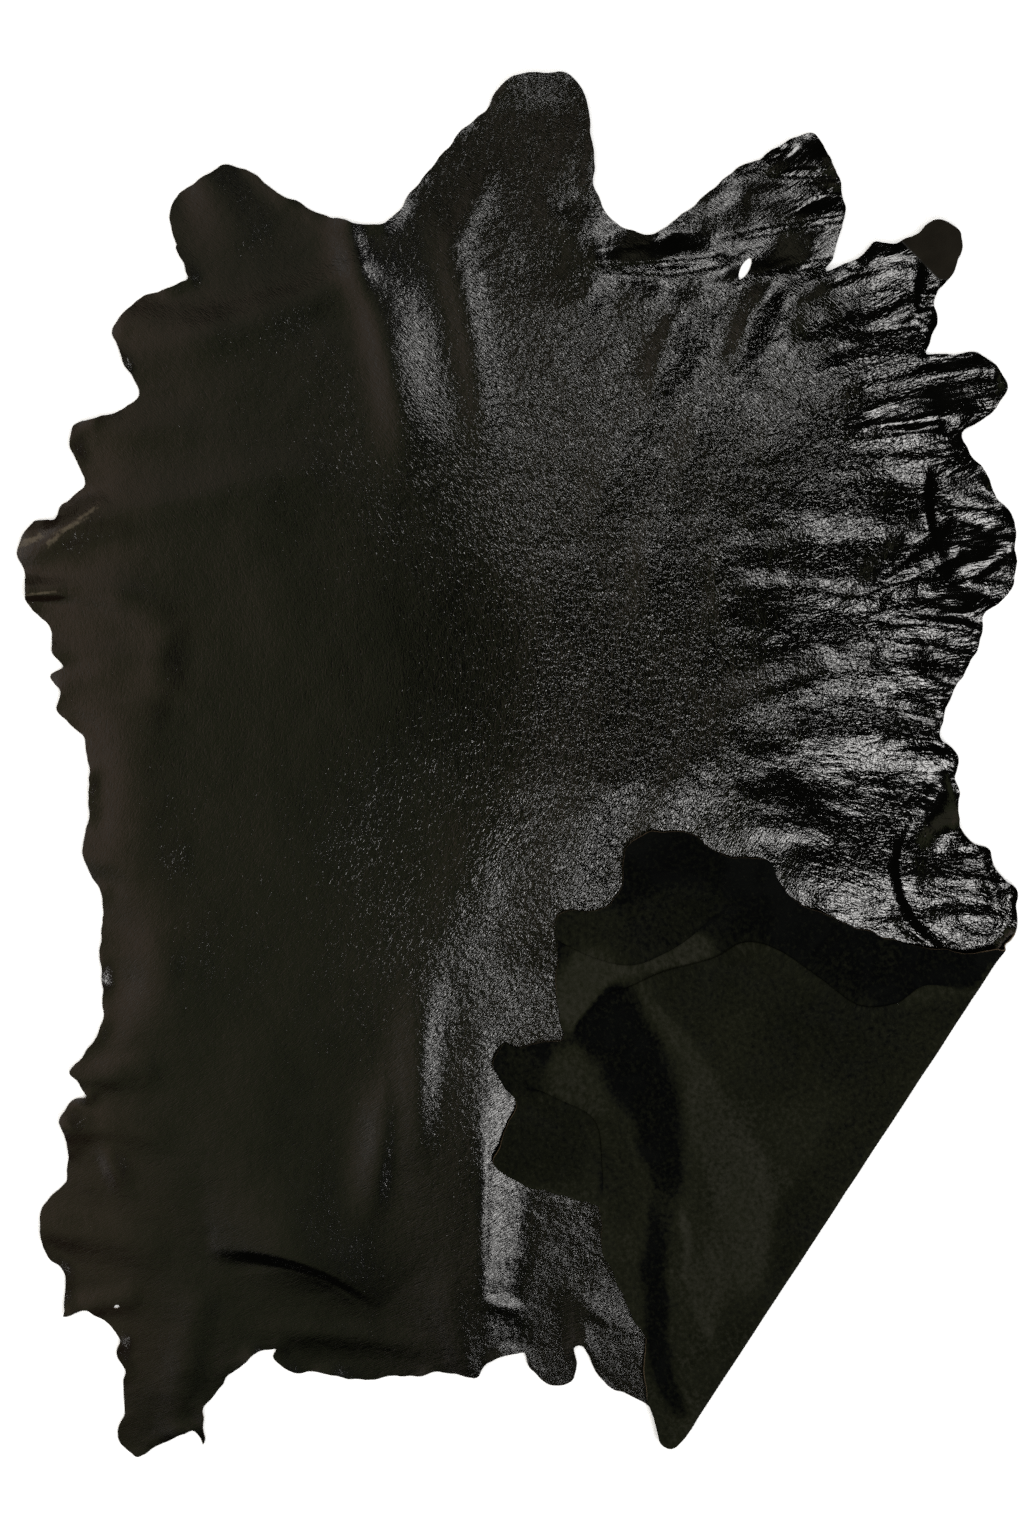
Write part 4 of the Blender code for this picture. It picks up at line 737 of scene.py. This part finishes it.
def spread_swell(xy):
    x, y = xy[:, 0], xy[:, 1]
    h = ridge_height(wander(xy), RIDGES_SPREAD) + fold_height(xy, FOLDS_SPREAD)
    h += LIFT + (0.00026 + 0.0005 * smooth((x + 0.06) / 0.14)) * waves(xy, 0.042, 21.0, 2) + 0.0014 * waves(xy, 0.11, 5.0)
    # fine pull lines, fanning out to the right edge
    fan = 0.2 * np.sin((y - 0.24) * math.pi / 0.34)
    pull = np.column_stack((x * 0.26, y - fan * (x - 0.33)))
    share = smooth((x - 0.14) / 0.26) * (0.55 + 0.9 * np.clip(waves(xy, 0.06, 17.0) + 0.3, 0, 1))
    pads = 0.8 * np.abs(waves(pull, 0.030, 9.0)) ** 0.8 + 0.35 * waves(pull, 0.016, 13.0)
    share *= 0.45 + 0.55 * np.exp(-((y - 0.09) / 0.12) ** 2)
    h += (0.0002 + share * 0.0021) * pads
    return 0.5 * (h + np.sqrt(h * h + 0.0005 ** 2))


def corner_swell(xy):
    return fold_height(wander(xy), FOLDS_CORNER) + np.maximum(waves(xy, 0.07, 31.0, 2) + 0.2, 0) * 0.0010


def laid(pattern, rim_gap):
    """Flat pattern -> middle surface of the hide as it lies."""
    s = from_axis(pattern)
    lying = np.where(s > ARC, ARC - s, np.where(s > 0, 0.0, s))
    plan = pattern + OUTWARD * (lying - s)[:, None]
    over = s >= ARC
    bend = (s > 0) & (s < ARC)
    z = THICK / 2 + spread_swell(plan)
    curl = 0.0035 * np.maximum(waves(pattern, 0.05, 41.0, 2) + 0.15, 0.0) * smooth(1 - rim_gap / 0.016) ** 2
    shift = np.zeros((len(plan), 2))
    corner = np.flatnonzero(over)
    depth = np.maximum(-lying, 0.0)
    down = smooth(depth / FOLD_RELAX)
    rest = (2 * FOLD_RADIUS) * (1 - down) + (THICK + LAYER_GAP) * down
    z = np.where(over, z + rest, z)
    if len(corner):
        cs, cl = add_laps(plan[corner], LAPS)
        ease = smooth(depth[corner] / 0.03)
        z[corner] += (corner_swell(plan[corner]) + cl) * ease
        shift[corner] = cs * ease[:, None]
    z += curl
    phi = np.clip(s / FOLD_RADIUS, 0.0, math.pi)
    plan = plan + shift + OUTWARD * np.where(bend, FOLD_RADIUS * np.sin(phi), 0.0)[:, None]
    z = z + np.where(bend, FOLD_RADIUS * (1 - np.cos(phi)), 0.0)
    return np.column_stack((plan, z))


# ------------------------------------------------------------------ the edge
def corners_of(lobes):
    rows = []
    for w in lobes:
        rows.append((w.tx, w.ty, w.tc))
        rows.append((w.dx, w.dy, w.dc))
    return np.array(rows) * CM


def rounded(corners):
    n = len(corners)
    out = []
    for i in range(n):
        p, c = corners[i, :2], corners[i, 2]
        a, b = corners[i - 1, :2] - p, corners[(i + 1) % n, :2] - p
        la, lb = np.hypot(*a), np.hypot(*b)
        start, end = p + a / la * min(c, 0.48 * la), p + b / lb * min(c, 0.48 * lb)
        for t in np.linspace(0, 1, 9):
            out.append(start * (1 - t) ** 2 + 2 * p * t * (1 - t) + end * t * t)
    return np.array(out)


def spaced(line, step):
    loop = np.vstack((line, line[:1]))
    run = np.hypot(*np.diff(loop, axis=0).T)
    at = np.concatenate(((0.0,), np.cumsum(run)))
    n = int(round(at[-1] / step))
    s = np.arange(n) * at[-1] / n
    p = np.column_stack((np.interp(s, at, loop[:, 0]), np.interp(s, at, loop[:, 1])))
    tang = np.roll(p, -1, axis=0) - np.roll(p, 1, axis=0)
    tang /= np.hypot(*tang.T)[:, None]
    wave = sum(k * np.sin(2 * math.pi * s / w + f)
               for k, w, f in ((1.0, 0.061, 0.4), (0.7, 0.037, 2.1), (0.5, 0.0225, 4.0)))
    nick = waves(np.column_stack((s, s * 0)), 0.011, 5.5, 2) * 0.0007
    return p + np.column_stack((tang[:, 1], -tang[:, 0])) * (RAGGED * wave + nick)[:, None]


def outline():
    spread_a = corners_of(FORE_LEFT + NECK + SHOULDER_RIGHT + FORE_RIGHT + FLANK_RIGHT)
    corner = corners_of(CORNER)
    corner[:, :2] = unfolded(corner[:, :2])
    spread_b = corners_of(REAR + SHANK_REAR_LEFT + REAR_LEFT + FLANK_LEFT)
    return spaced(rounded(np.vstack((spread_a, corner, spread_b))), EDGE_STEP)


def hole_line(h, points):
    t = np.arange(points) * 2 * math.pi / points
    x, y = np.cos(t) * h.length / 2, np.sin(t) * np.abs(np.sin(t)) ** 0.3 * h.width / 2
    c, s = math.cos(math.radians(h.turn)), math.sin(math.radians(h.turn))
    return np.column_stack((h.x + x * c - y * s, h.y + x * s + y * c)) * CM


def inside(points, loop):
    a, b = loop, np.roll(loop, -1, axis=0)
    hit = np.zeros(len(points), bool)
    for (x0, y0), (x1, y1) in zip(a, b):
        if y0 == y1:
            continue
        cross = (points[:, 1] > y0) != (points[:, 1] > y1)
        hit ^= cross & (points[:, 0] < x0 + (points[:, 1] - y0) * (x1 - x0) / (y1 - y0))
    return hit


def tree_of(points):
    tree = KDTree(len(points))
    for i, p in enumerate(points):
        tree.insert((p[0], p[1], 0.0), i)
    tree.balance()
    return tree


def gap_to(tree, points):
    return np.array([tree.find((x, y, 0.0))[2] for x, y in points])


def lattice(lo, hi, step):
    nx, ny = int((hi[0] - lo[0]) / step) + 2, int((hi[1] - lo[1]) / (step * 0.866)) + 2
    j, i = np.mgrid[0:ny, 0:nx]
    return np.column_stack(((lo[0] + (i + 0.5 * (j % 2)) * step).ravel(),
                            (lo[1] + j * step * 0.866).ravel()))


def build_sheet(name):
    edge = outline()
    holes = [hole_line(h, 36 if h.length > 1 else 12) for h in HOLES]
    rim_tree, edge_tree = tree_of(np.vstack([edge] + holes)), tree_of(edge)
    count = int(FOLD_LENGTH / ALONG_STEP) + 8
    bend = np.array([AXIS + OUTWARD * ARC * k / BEND_ROWS + ALONG * (j + 0.5 * (k % 2)) * ALONG_STEP
                     for k in range(-1, BEND_ROWS + 2) for j in range(-4, count)])
    tucks = np.vstack([lap.rows() for lap in LAPS]
                      + [fold_rows(FOLDS_SHARP, (0.6, 0.35, 0.15, -0.05, -0.25, -0.45, -0.7, -1.0))])
    s = from_axis(tucks)
    tucks = tucks[(s < -0.003) | (s > ARC + 0.003)]
    tuck_tree = tree_of(tucks)
    flap = edge[from_axis(edge) > ARC]                     # the corner as it lies on top
    cover = flap + OUTWARD * (ARC - 2 * from_axis(flap))[:, None]
    lo, hi = edge.min(axis=0), edge.max(axis=0)

    def field(side):
        """Even points, close together where this side of the sheet is seen."""
        out = []
        for step in (CLOSE, FINE, COARSE):
            pts = lattice(lo, hi, step)
            s = from_axis(pts)
            if side == "grain":
                seen = (s < 0) & ~inside(pts, cover)
                close = seen & (pts[:, 0] > CLOSE_FROM)
            else:
                seen = s > 0
                close = np.zeros(len(pts), bool)
            pts = pts[{CLOSE: close, FINE: seen & ~close, COARSE: ~seen}[step]]
            s = from_axis(pts)
            pts = pts[(s < -0.0035) | (s > ARC + 0.0035)]
            pts = pts[inside(pts, edge)]
            pts = pts[gap_to(rim_tree, pts) > 0.0024]
            pts = pts[gap_to(tuck_tree, pts) > 0.0022]
            out.append(pts)
        return np.vstack(out)

    def keep(pts, room):
        ok = inside(pts, edge)
        for h in holes:
            ok &= ~inside(pts, h)
        pts = pts[ok]
        return pts[gap_to(rim_tree, pts) > room]

    strips = np.vstack((keep(bend, 0.0012), keep(tucks, 0.0012)))
    loops, start = [], 0
    for loop in [edge] + holes:
        loops.append([(start + i, start + (i + 1) % len(loop)) for i in range(len(loop))])
        start += len(loop)
    rim = start
    sides = {}
    for side in ("grain", "flesh"):
        inner = field(side)
        for h in holes:
            inner = inner[~inside(inner, h)]
        pts = np.vstack([edge] + holes + [strips, inner])
        verts, _, tris, origin, _, _ = delaunay_2d_cdt(
            [Vector(p) for p in pts], [e for loop in loops for e in loop], [], 0, 1e-7)
        flat = np.array([(v.x, v.y) for v in verts])
        tris = np.array([t for t in tris])
        mid = flat[tris].mean(axis=1)
        ok = inside(mid, edge)
        for h in holes:
            ok &= ~inside(mid, h)
        tris = tris[ok]
        e1, e2 = flat[tris[:, 1]] - flat[tris[:, 0]], flat[tris[:, 2]] - flat[tris[:, 0]]
        area = e1[:, 0] * e2[:, 1] - e1[:, 1] * e2[:, 0]
        tris = tris[np.abs(area) > 1e-12]
        area = area[np.abs(area) > 1e-12]
        tris[area < 0] = tris[area < 0][:, ::-1]
        place = laid(flat, gap_to(edge_tree, flat))
        n = np.zeros_like(place)
        f = np.cross(place[tris[:, 1]] - place[tris[:, 0]], place[tris[:, 2]] - place[tris[:, 0]])
        for k in range(3):
            np.add.at(n, tris[:, k], f)
        n /= np.maximum(np.linalg.norm(n, axis=1), 1e-12)[:, None]
        which = {}
        for i, o in enumerate(origin):
            for q in o:
                if q < rim:
                    which[q] = i
        sides[side] = (flat, tris, place + n * (THICK / 2 if side == "grain" else -THICK / 2), which)
    gf, gt, gp, gw = sides["grain"]
    ff, ft, fp, fw = sides["flesh"]
    base = len(gp)
    faces = [tuple(t) for t in gt.tolist()] + [tuple(t) for t in (ft[:, ::-1] + base).tolist()]
    slots = [0] * len(gt) + [1] * len(ft)
    for loop in loops:
        for a, b in loop:
            faces.append((gw[a], gw[b], base + fw[b], base + fw[a]))
            slots.append(2)
    co = np.vstack((gp, fp)) - (PLAN_CENTRE[0] * CM, PLAN_CENTRE[1] * CM, 0.0)
    flat = np.vstack((gf, ff))
    used = np.unique(np.concatenate([np.array(f) for f in faces]))
    where = np.full(len(co), -1)
    where[used] = np.arange(len(used))
    mesh = bpy.data.meshes.new(name)
    mesh.from_pydata(co[used].tolist(), [], [tuple(int(where[i]) for i in f) for f in faces])
    mesh.polygons.foreach_set("material_index", slots)
    mesh.update()
    sheet = bpy.data.objects.new(name, mesh)
    bpy.context.scene.collection.objects.link(sheet)
    uv = mesh.attributes.new("pattern", "FLOAT_VECTOR", "POINT")
    uv.data.foreach_set("vector", np.column_stack((flat[used], np.zeros(len(used)))).ravel())
    s = from_axis(flat[used])
    over = flat[used] + OUTWARD * np.where(s > ARC, ARC - 2 * s, 0.0)[:, None]
    gloss = mesh.attributes.new("stretched", "FLOAT", "POINT")
    gloss.data.foreach_set("value", stretched(flat[used]))
    tone = mesh.attributes.new("nap_tone_and_shade", "FLOAT", "POINT")
    tone.data.foreach_set("value", nap_tone_and_shade(over))
    mesh.polygons.foreach_set("use_smooth", [k != 2 for k in slots])
    mesh.set_sharp_from_angle(angle=math.radians(60))
    return sheet, edge


# ---------------------------------------------------------------- materials
class Nodes:
    """Short hand for wiring a shader."""

    def __init__(self, name):
        self.mat = bpy.data.materials.new(name)
        self.mat.use_nodes = True
        self.tree = self.mat.node_tree
        self.shader = self.tree.nodes["Principled BSDF"]

    def add(self, kind, **settings):
        node = self.tree.nodes.new(kind)
        for key, value in settings.items():
            if key.startswith("in_"):
                node.inputs[key[3:].replace("_", " ")].default_value = value
            else:
                setattr(node, key, value)
        return node

    def link(self, out, into):
        self.tree.links.new(out, into)

    def math(self, op, a, b=None, c=None, clamp=False):
        node = self.add("ShaderNodeMath", operation=op, use_clamp=clamp)
        for i, v in enumerate((a, b, c)):
            if v is None:
                continue
            if isinstance(v, (int, float)):
                node.inputs[i].default_value = v
            else:
                self.link(v, node.inputs[i])
        return node.outputs[0]

    def mix(self, share, a, b):
        node = self.add("ShaderNodeMix", data_type="RGBA")
        for i, v in ((0, share), (6, a), (7, b)):
            if isinstance(v, (int, float, tuple)):
                node.inputs[i].default_value = v
            else:
                self.link(v, node.inputs[i])
        return node.outputs[2]

    def span(self, value, lo, hi, to_lo=0.0, to_hi=1.0):
        node = self.add("ShaderNodeMapRange", interpolation_type="SMOOTHSTEP")
        self.link(value, node.inputs[0])
        for i, v in ((1, lo), (2, hi), (3, to_lo), (4, to_hi)):
            node.inputs[i].default_value = v
        return node.outputs[0]

    def noise(self, where, scale, detail=2.0, rough=0.5, warp=0.0, kind="FBM"):
        node = self.add("ShaderNodeTexNoise", noise_dimensions="3D", noise_type=kind)
        self.link(where, node.inputs["Vector"])
        node.inputs["Scale"].default_value = scale
        node.inputs["Detail"].default_value = detail
        node.inputs["Roughness"].default_value = rough
        node.inputs["Distortion"].default_value = warp
        return node.outputs["Fac"]

    def bump(self, height, distance, under=None):
        node = self.add("ShaderNodeBump")
        node.inputs["Strength"].default_value = 1.0
        node.inputs["Distance"].default_value = distance
        self.link(height, node.inputs["Height"])
        if under is not None:
            self.link(under, node.inputs["Normal"])
        return node.outputs["Normal"]


# spots of the grain side: middle and half sizes in cm, turn in degrees
Spot = namedtuple("Spot", "x y turn half_long half_wide soft")
# the dull end of the shank lobe, rougher, less shiny and browner, is where these two overlap
DULL_LOBE = (
    # x y turn half_long half_wide soft
    Spot(37.14, 45.85, 46.0, 3.00, 3.05, 0.10),
    Spot(36.5, 46.6, 6.0, 6.50, 4.50, 0.05),
)
# painted highlights: tan lines along the belly tab's folds, where the folds catch the light
TAB_HIGHLIGHT_SPOTS = (
    # x y turn half_long half_wide soft
    Spot(-41.8, 19.9, 17.0, 1.35, 0.38, 0.8),
    Spot(-39.7, 20.0, 40.0, 1.10, 0.30, 0.9),
    Spot(-38.4, 21.0, 30.0, 1.70, 0.26, 1.0),
    Spot(-36.9, 22.1, 34.0, 1.50, 0.20, 1.0),
    Spot(-41.0, 15.3, 5.0, 1.80, 0.14, 0.9),
)


def spot_share(n, x, y, spot, ragged=None):
    """1 inside the turned box, 0 outside it, soft over its outer share."""
    c, s = float(np.cos(np.radians(spot.turn))), float(np.sin(np.radians(spot.turn)))
    mx, my = spot.x * CM, spot.y * CM
    u = n.math("MULTIPLY_ADD", x, c, n.math("MULTIPLY_ADD", y, s, -(mx * c + my * s)))
    v = n.math("MULTIPLY_ADD", x, -s, n.math("MULTIPLY_ADD", y, c, mx * s - my * c))
    far = n.math("MAXIMUM", n.math("DIVIDE", n.math("ABSOLUTE", u), spot.half_long * CM),
                 n.math("DIVIDE", n.math("ABSOLUTE", v), spot.half_wide * CM))
    if ragged is not None:
        far = n.math("ADD", far, n.math("MULTIPLY", n.math("SUBTRACT", ragged, 0.5), 2.4))
    return n.span(far, 1.0 - spot.soft, 1.0, 1.0, 0.0)


def grain_leather():
    """Black crinkle gloss: small lacquered pebbles, pulled nearly flat where stretched."""
    n = Nodes("grain_gloss")
    where = n.add("ShaderNodeAttribute", attribute_name="pattern").outputs["Vector"]
    pulled = n.add("ShaderNodeAttribute", attribute_name="stretched").outputs["Fac"]
    part = n.add("ShaderNodeSeparateXYZ")
    n.link(where, part.inputs[0])
    x, y = part.outputs[0], part.outputs[1]
    cloud = n.noise(where, 9.0, 3.0, 0.55)
    patch = n.noise(where, 38.0, 3.0, 0.6)
    black = n.mix(patch, (0.0004, 0.0004, 0.0003, 1), (0.0010, 0.0010, 0.0007, 1))
    # painted reflection: the base is browner toward the left edge, standing in for a warm reflection there
    edge = n.span(n.math("ADD", x, n.math("MULTIPLY", n.math("SUBTRACT", cloud, 0.5), 0.22)), -0.40, -0.26, 1.0, 0.0)
    warm_reflection_tint = n.mix(patch, (0.0022, 0.0012, 0.0008, 1), (0.0074, 0.0050, 0.0034, 1))
    # painted highlights: tan lines along the belly tab's folds; and the end of one shank lobe is rougher, less shiny
    # and browner
    highlight_ragged = n.noise(where, 260.0, 3.0, 0.6)
    tab_highlight = None
    for spot in TAB_HIGHLIGHT_SPOTS:
        share = spot_share(n, x, y, spot, highlight_ragged)
        tab_highlight = share if tab_highlight is None else n.math("MAXIMUM", tab_highlight, share)
    dull = n.math("MINIMUM", *(spot_share(n, x, y, spot) for spot in DULL_LOBE))
    tone = n.mix(n.math("MULTIPLY", tab_highlight, 0.60), n.mix(edge, black, warm_reflection_tint), (0.062, 0.050, 0.033, 1))
    n.link(n.mix(dull, tone, n.mix(patch, (0.0022, 0.0018, 0.0011, 1), (0.0098, 0.0082, 0.0056, 1))),
           n.shader.inputs["Base Color"])
    n.link(n.span(dull, 0.0, 1.0, 0.5, 0.06), n.shader.inputs["Specular IOR Level"])
    gloss = n.math("ADD", n.span(patch, 0.25, 0.75, 0.0, 0.03), n.span(x, -0.16, 0.10, 0.15, 0.08))
    n.link(n.math("MAXIMUM", gloss, n.math("MULTIPLY", dull, 0.8)), n.shader.inputs["Roughness"])

    drift = n.add("ShaderNodeTexNoise", noise_dimensions="2D")
    n.link(where, drift.inputs["Vector"])
    drift.inputs["Scale"].default_value = 190.0
    drift.inputs["Detail"].default_value = 2.0
    off = n.add("ShaderNodeSeparateXYZ")
    n.link(drift.outputs["Color"], off.inputs[0])
    dx = n.math("MULTIPLY_ADD", off.outputs[0], 0.0040, -0.0020)
    dy = n.math("MULTIPLY_ADD", off.outputs[1], 0.0040, -0.0020)

    def pebbles(u, v, cells):
        both = n.add("ShaderNodeCombineXYZ")
        n.link(n.math("ADD", u, dx), both.inputs[0])
        n.link(n.math("ADD", v, dy), both.inputs[1])
        cell = n.add("ShaderNodeTexVoronoi", voronoi_dimensions="2D", feature="F1", distance="EUCLIDEAN")
        n.link(both.outputs[0], cell.inputs["Vector"])
        cell.inputs["Scale"].default_value = cells
        return n.math("MULTIPLY_ADD", n.math("POWER", cell.outputs["Distance"], 2.0), -1.0, 1.0)

    # over the back the grain runs up and down the spine, bowed toward the belly
    bow = n.math("POWER", n.math("SUBTRACT", y, 0.08), 2.0)
    back = pebbles(n.math("MULTIPLY_ADD", bow, 1.8, x), n.math("MULTIPLY", y, 0.42), 720.0)
    # toward the right flank it is drawn out sideways
    fan = n.math("DIVIDE", n.math("SUBTRACT", y, 0.05),
                 n.math("MULTIPLY_ADD", n.math("MAXIMUM", n.math("SUBTRACT", x, 0.10), -0.05), 2.0, 1.0))
    flank = pebbles(n.math("MULTIPLY", x, 0.42), fan, 720.0)
    turn = n.span(n.math("ADD", x, n.math("MULTIPLY", n.math("SUBTRACT", cloud, 0.5), 0.2)), 0.16, 0.34)
    # and across the fold that comes down from the neck
    across = n.math("ADD", n.math("POWER", n.math("MULTIPLY_ADD", x, 20.0, 2.5), 2.0),
                    n.math("POWER", n.math("MULTIPLY_ADD", y, 16.0, -6.9), 2.0))
    mixed = n.add("ShaderNodeMix", data_type="FLOAT")
    n.link(n.math("MAXIMUM", turn, n.span(across, 0.5, 1.6, 1.0, 0.0)), mixed.inputs[0])
    n.link(back, mixed.inputs[2])
    n.link(flank, mixed.inputs[3])
    # the creases between the pebbles run the same way
    runs = []
    for u, v in ((n.math("MULTIPLY_ADD", bow, 1.8, x), n.math("MULTIPLY", y, 0.34)),
                 (n.math("MULTIPLY", x, 0.34), fan)):
        both = n.add("ShaderNodeCombineXYZ")
        n.link(u, both.inputs[0])
        n.link(v, both.inputs[1])
        runs.append(both.outputs[0])
    way = n.add("ShaderNodeMix", data_type="VECTOR")
    n.link(n.math("GREATER_THAN", turn, 0.5), way.inputs[0])
    n.link(runs[0], way.inputs[4])
    n.link(runs[1], way.inputs[5])
    along = way.outputs[1]
    # the crinkle is finer on the left of the spine, and nearly gone where stretched
    strength = n.math("MULTIPLY", n.span(x, -0.20, 0.09, 0.33, 1.06), n.math("MULTIPLY_ADD", pulled, -0.62, 1.0))
    strength = n.math("MULTIPLY", strength, n.span(x, 0.16, 0.32, 1.0, 0.84))
    pebble = n.math("MULTIPLY", mixed.outputs[0], strength)
    crease = n.math("MULTIPLY", n.noise(along, 540.0, 2.0, 0.55, 0.8), strength)
    coarse = n.math("MULTIPLY", n.noise(where, 120.0, 2.0, 0.5, 0.3), strength)
    fine = n.noise(where, 650.0, 2.0, 0.5, 0.4)
    # pull lines that fan out to the flank
    lines = n.add("ShaderNodeCombineXYZ")
    n.link(n.math("MULTIPLY", x, 0.16), lines.inputs[0])
    n.link(n.math("ADD", fan, n.math("MULTIPLY", n.math("SUBTRACT", cloud, 0.5), 0.03)), lines.inputs[1])
    drawn = n.math("MULTIPLY", n.noise(lines.outputs[0], 130.0, 3.0, 0.6), turn)
    low = n.bump(drawn, 0.0011, n.bump(coarse, 0.00072))
    mid = n.bump(crease, 0.00025, low)
    top = n.bump(pebble, 0.00028, mid)
    n.link(n.bump(fine, 0.00008, top), n.shader.inputs["Normal"])
    n.shader.inputs["IOR"].default_value = 1.5
    return n.mat


def flesh_leather():
    """Napped underside: matt olive black, brushed in patches, blacker in the outer band."""
    n = Nodes("flesh_nap")
    where = n.add("ShaderNodeAttribute", attribute_name="pattern").outputs["Vector"]
    # this tone carries the nap's tones and also painted shade and highlights on the folded corner
    band = n.add("ShaderNodeAttribute", attribute_name="nap_tone_and_shade").outputs["Fac"]
    cloud = n.noise(where, 7.0, 3.0, 0.5)
    brush = n.noise(where, 26.0, 4.0, 0.6, 0.6)
    speck = n.noise(where, 420.0, 2.0, 0.6)
    base = n.mix(n.span(cloud, 0.3, 0.7), (0.0030, 0.0034, 0.0016, 1), (0.0056, 0.0060, 0.0030, 1))
    body = n.mix(n.span(brush, 0.40, 0.85), base, (0.0080, 0.0085, 0.0048, 1))
    velvet = n.mix(n.span(brush, 0.40, 0.72), (0.0004, 0.0005, 0.0006, 1), (0.0014, 0.0016, 0.0014, 1))
    mottle = n.noise(where, 230.0, 3.0, 0.65)
    stroke = n.math("MULTIPLY_ADD", n.math("SUBTRACT", brush, 0.5), 1.3, band)
    stroke = n.math("MULTIPLY_ADD", n.math("SUBTRACT", mottle, 0.5), 2.4, stroke)
    tone = n.mix(n.math("MULTIPLY", stroke, 1.0, clamp=True), body, velvet)
    tone = n.mix(n.math("MULTIPLY", stroke, -1.0, clamp=True), tone, (0.0138, 0.0136, 0.0096, 1))
    light = n.math("MULTIPLY", n.span(speck, 0.55, 0.80, 0.0, 0.5), n.span(band, 0.3, 1.0, 1.0, 0.25))
    n.link(n.mix(light, tone, (0.012, 0.0125, 0.0075, 1)), n.shader.inputs["Base Color"])
    n.shader.inputs["Roughness"].default_value = 0.95
    n.shader.inputs["Specular IOR Level"].default_value = 0.06
    fibre = n.noise(where, 900.0, 3.0, 0.7, 0.3)
    nap = n.noise(where, 160.0, 3.0, 0.6, 0.5)
    n.link(n.bump(fibre, 0.00016, n.bump(nap, 0.0004)), n.shader.inputs["Normal"])
    return n.mat


def cut_edge():
    """The cut through the skin: dark dyed fibre, a little browner, with its paler tones a painted highlight for the
    lit rim.
    """
    n = Nodes("cut_edge")
    where = n.add("ShaderNodeTexCoord").outputs["Object"]
    fibre = n.noise(where, 1400.0, 3.0, 0.6)
    n.link(n.mix(fibre, (0.030, 0.020, 0.011, 1), (0.150, 0.105, 0.060, 1)), n.shader.inputs["Base Color"])
    n.shader.inputs["Roughness"].default_value = 0.85
    n.link(n.bump(fibre, 0.0002), n.shader.inputs["Normal"])
    return n.mat


# ------------------------------------------------------------------- pieces
hide, rim = build_sheet("hide_sheet")
for make in (grain_leather, flesh_leather, cut_edge):
    hide.data.materials.append(make())
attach(hide, "root")
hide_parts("hide")

# -------------------------------------------------------------------- floor
floor_mesh = bpy.data.meshes.new("floor")
floor_mesh.from_pydata([(-9, -9, -0.0003), (9, -9, -0.0003), (9, 9, -0.0003), (-9, 9, -0.0003)], [], [(0, 1, 2, 3)])
floor = bpy.data.objects.new("floor", floor_mesh)
bpy.context.scene.collection.objects.link(floor)
pale = Nodes("floor_pale")
pale.shader.inputs["Base Color"].default_value = (0.86, 0.86, 0.855, 1)
pale.shader.inputs["Roughness"].default_value = 0.9
pale.shader.inputs["Specular IOR Level"].default_value = 0.1
floor_mesh.materials.append(pale.mat)


# ------------------------------------------------------------- light, camera
def softbox(name, at, aim, size, radiance, colour=(1, 1, 1), glossy=True):
    """Area light of a given radiance, so its size can change without its shine."""
    data = bpy.data.lights.new(name, "AREA")
    data.shape = "RECTANGLE"
    data.size, data.size_y = size
    data.energy = radiance * math.pi * size[0] * size[1]
    data.color = colour
    lamp = bpy.data.objects.new(name, data)
    bpy.context.scene.collection.objects.link(lamp)
    lamp.location = at
    lamp.rotation_euler = (Vector(aim) - Vector(at)).to_track_quat("-Z", "Y").to_euler()
    lamp.visible_glossy = glossy
    return lamp


softbox("key_top", (0.66, 0.93, 2.00), (0.20, 0.20, 0.0), (0.42, 0.42), 15.4, (1.0, 0.985, 0.96))
softbox("key_low", (0.66, -0.74, 2.00), (0.20, -0.20, 0.0), (0.42, 0.42), 19.6, (1.0, 0.985, 0.96))
softbox("overhead", (0.0, 0.0, 3.2), (0.0, 0.0, 0.0), (5.0, 5.0), 2.6, glossy=False)
softbox("near_left", (-0.445, -0.57, 2.15), (-0.445, -0.57, 0.0), (0.63, 2.06), 0.262, (0.90, 1.0, 0.52))
softbox("near_top", (-0.445, 0.96, 2.15), (-0.445, 0.96, 0.0), (0.63, 1.00), 0.35, (0.99, 0.95, 0.64))
softbox("far_top", (-1.30, 2.20, 2.15), (-1.30, 2.20, 0.0), (1.20, 1.30), 0.40, (1.0, 0.90, 0.62))
softbox("far_left", (-1.085, 0.40, 2.15), (-1.085, 0.40, 0.0), (0.65, 2.00), 0.66, (1.0, 0.77, 0.57))
softbox("far_mid", (-1.085, -0.75, 2.15), (-1.085, -0.75, 0.0), (0.65, 0.30), 0.46, (0.99, 0.84, 0.58))
softbox("far_low", (-1.085, -1.25, 2.15), (-1.085, -1.25, 0.0), (0.65, 0.70), 0.29, (0.94, 0.95, 0.56))
softbox("side_left", (-1.81, -0.10, 2.15), (-1.81, -0.10, 0.0), (0.80, 3.00), 0.85, (0.96, 0.90, 0.84))
softbox("rim_left", (-2.50, -0.10, 2.15), (-2.50, -0.10, 0.0), (0.50, 3.00), 2.6, (1.0, 0.84, 0.66))

world = bpy.data.worlds.new("studio")
bpy.context.scene.world = world
world.use_nodes = True
world.node_tree.nodes["Background"].inputs[0].default_value = (1.0, 1.0, 0.98, 1)
world.node_tree.nodes["Background"].inputs[1].default_value = 0.008

cam_data = bpy.data.cameras.new("camera")
cam_data.sensor_fit = "VERTICAL"
cam_data.sensor_height = 36.0
cam_data.lens = 53.41
cam_data.clip_start = 0.05
camera = bpy.data.objects.new("camera", cam_data)
bpy.context.scene.collection.objects.link(camera)
camera.location = (-0.0077, 0.16638, 1.99397)
camera.rotation_euler = (-math.radians(4.45), 0.0, 0.0)
bpy.context.scene.camera = camera
bpy.context.scene.view_settings.view_transform = "Standard"
bpy.context.scene.view_settings.look = "None"
bpy.context.scene.cycles.use_denoising = False

bpy.context.view_layer.update()
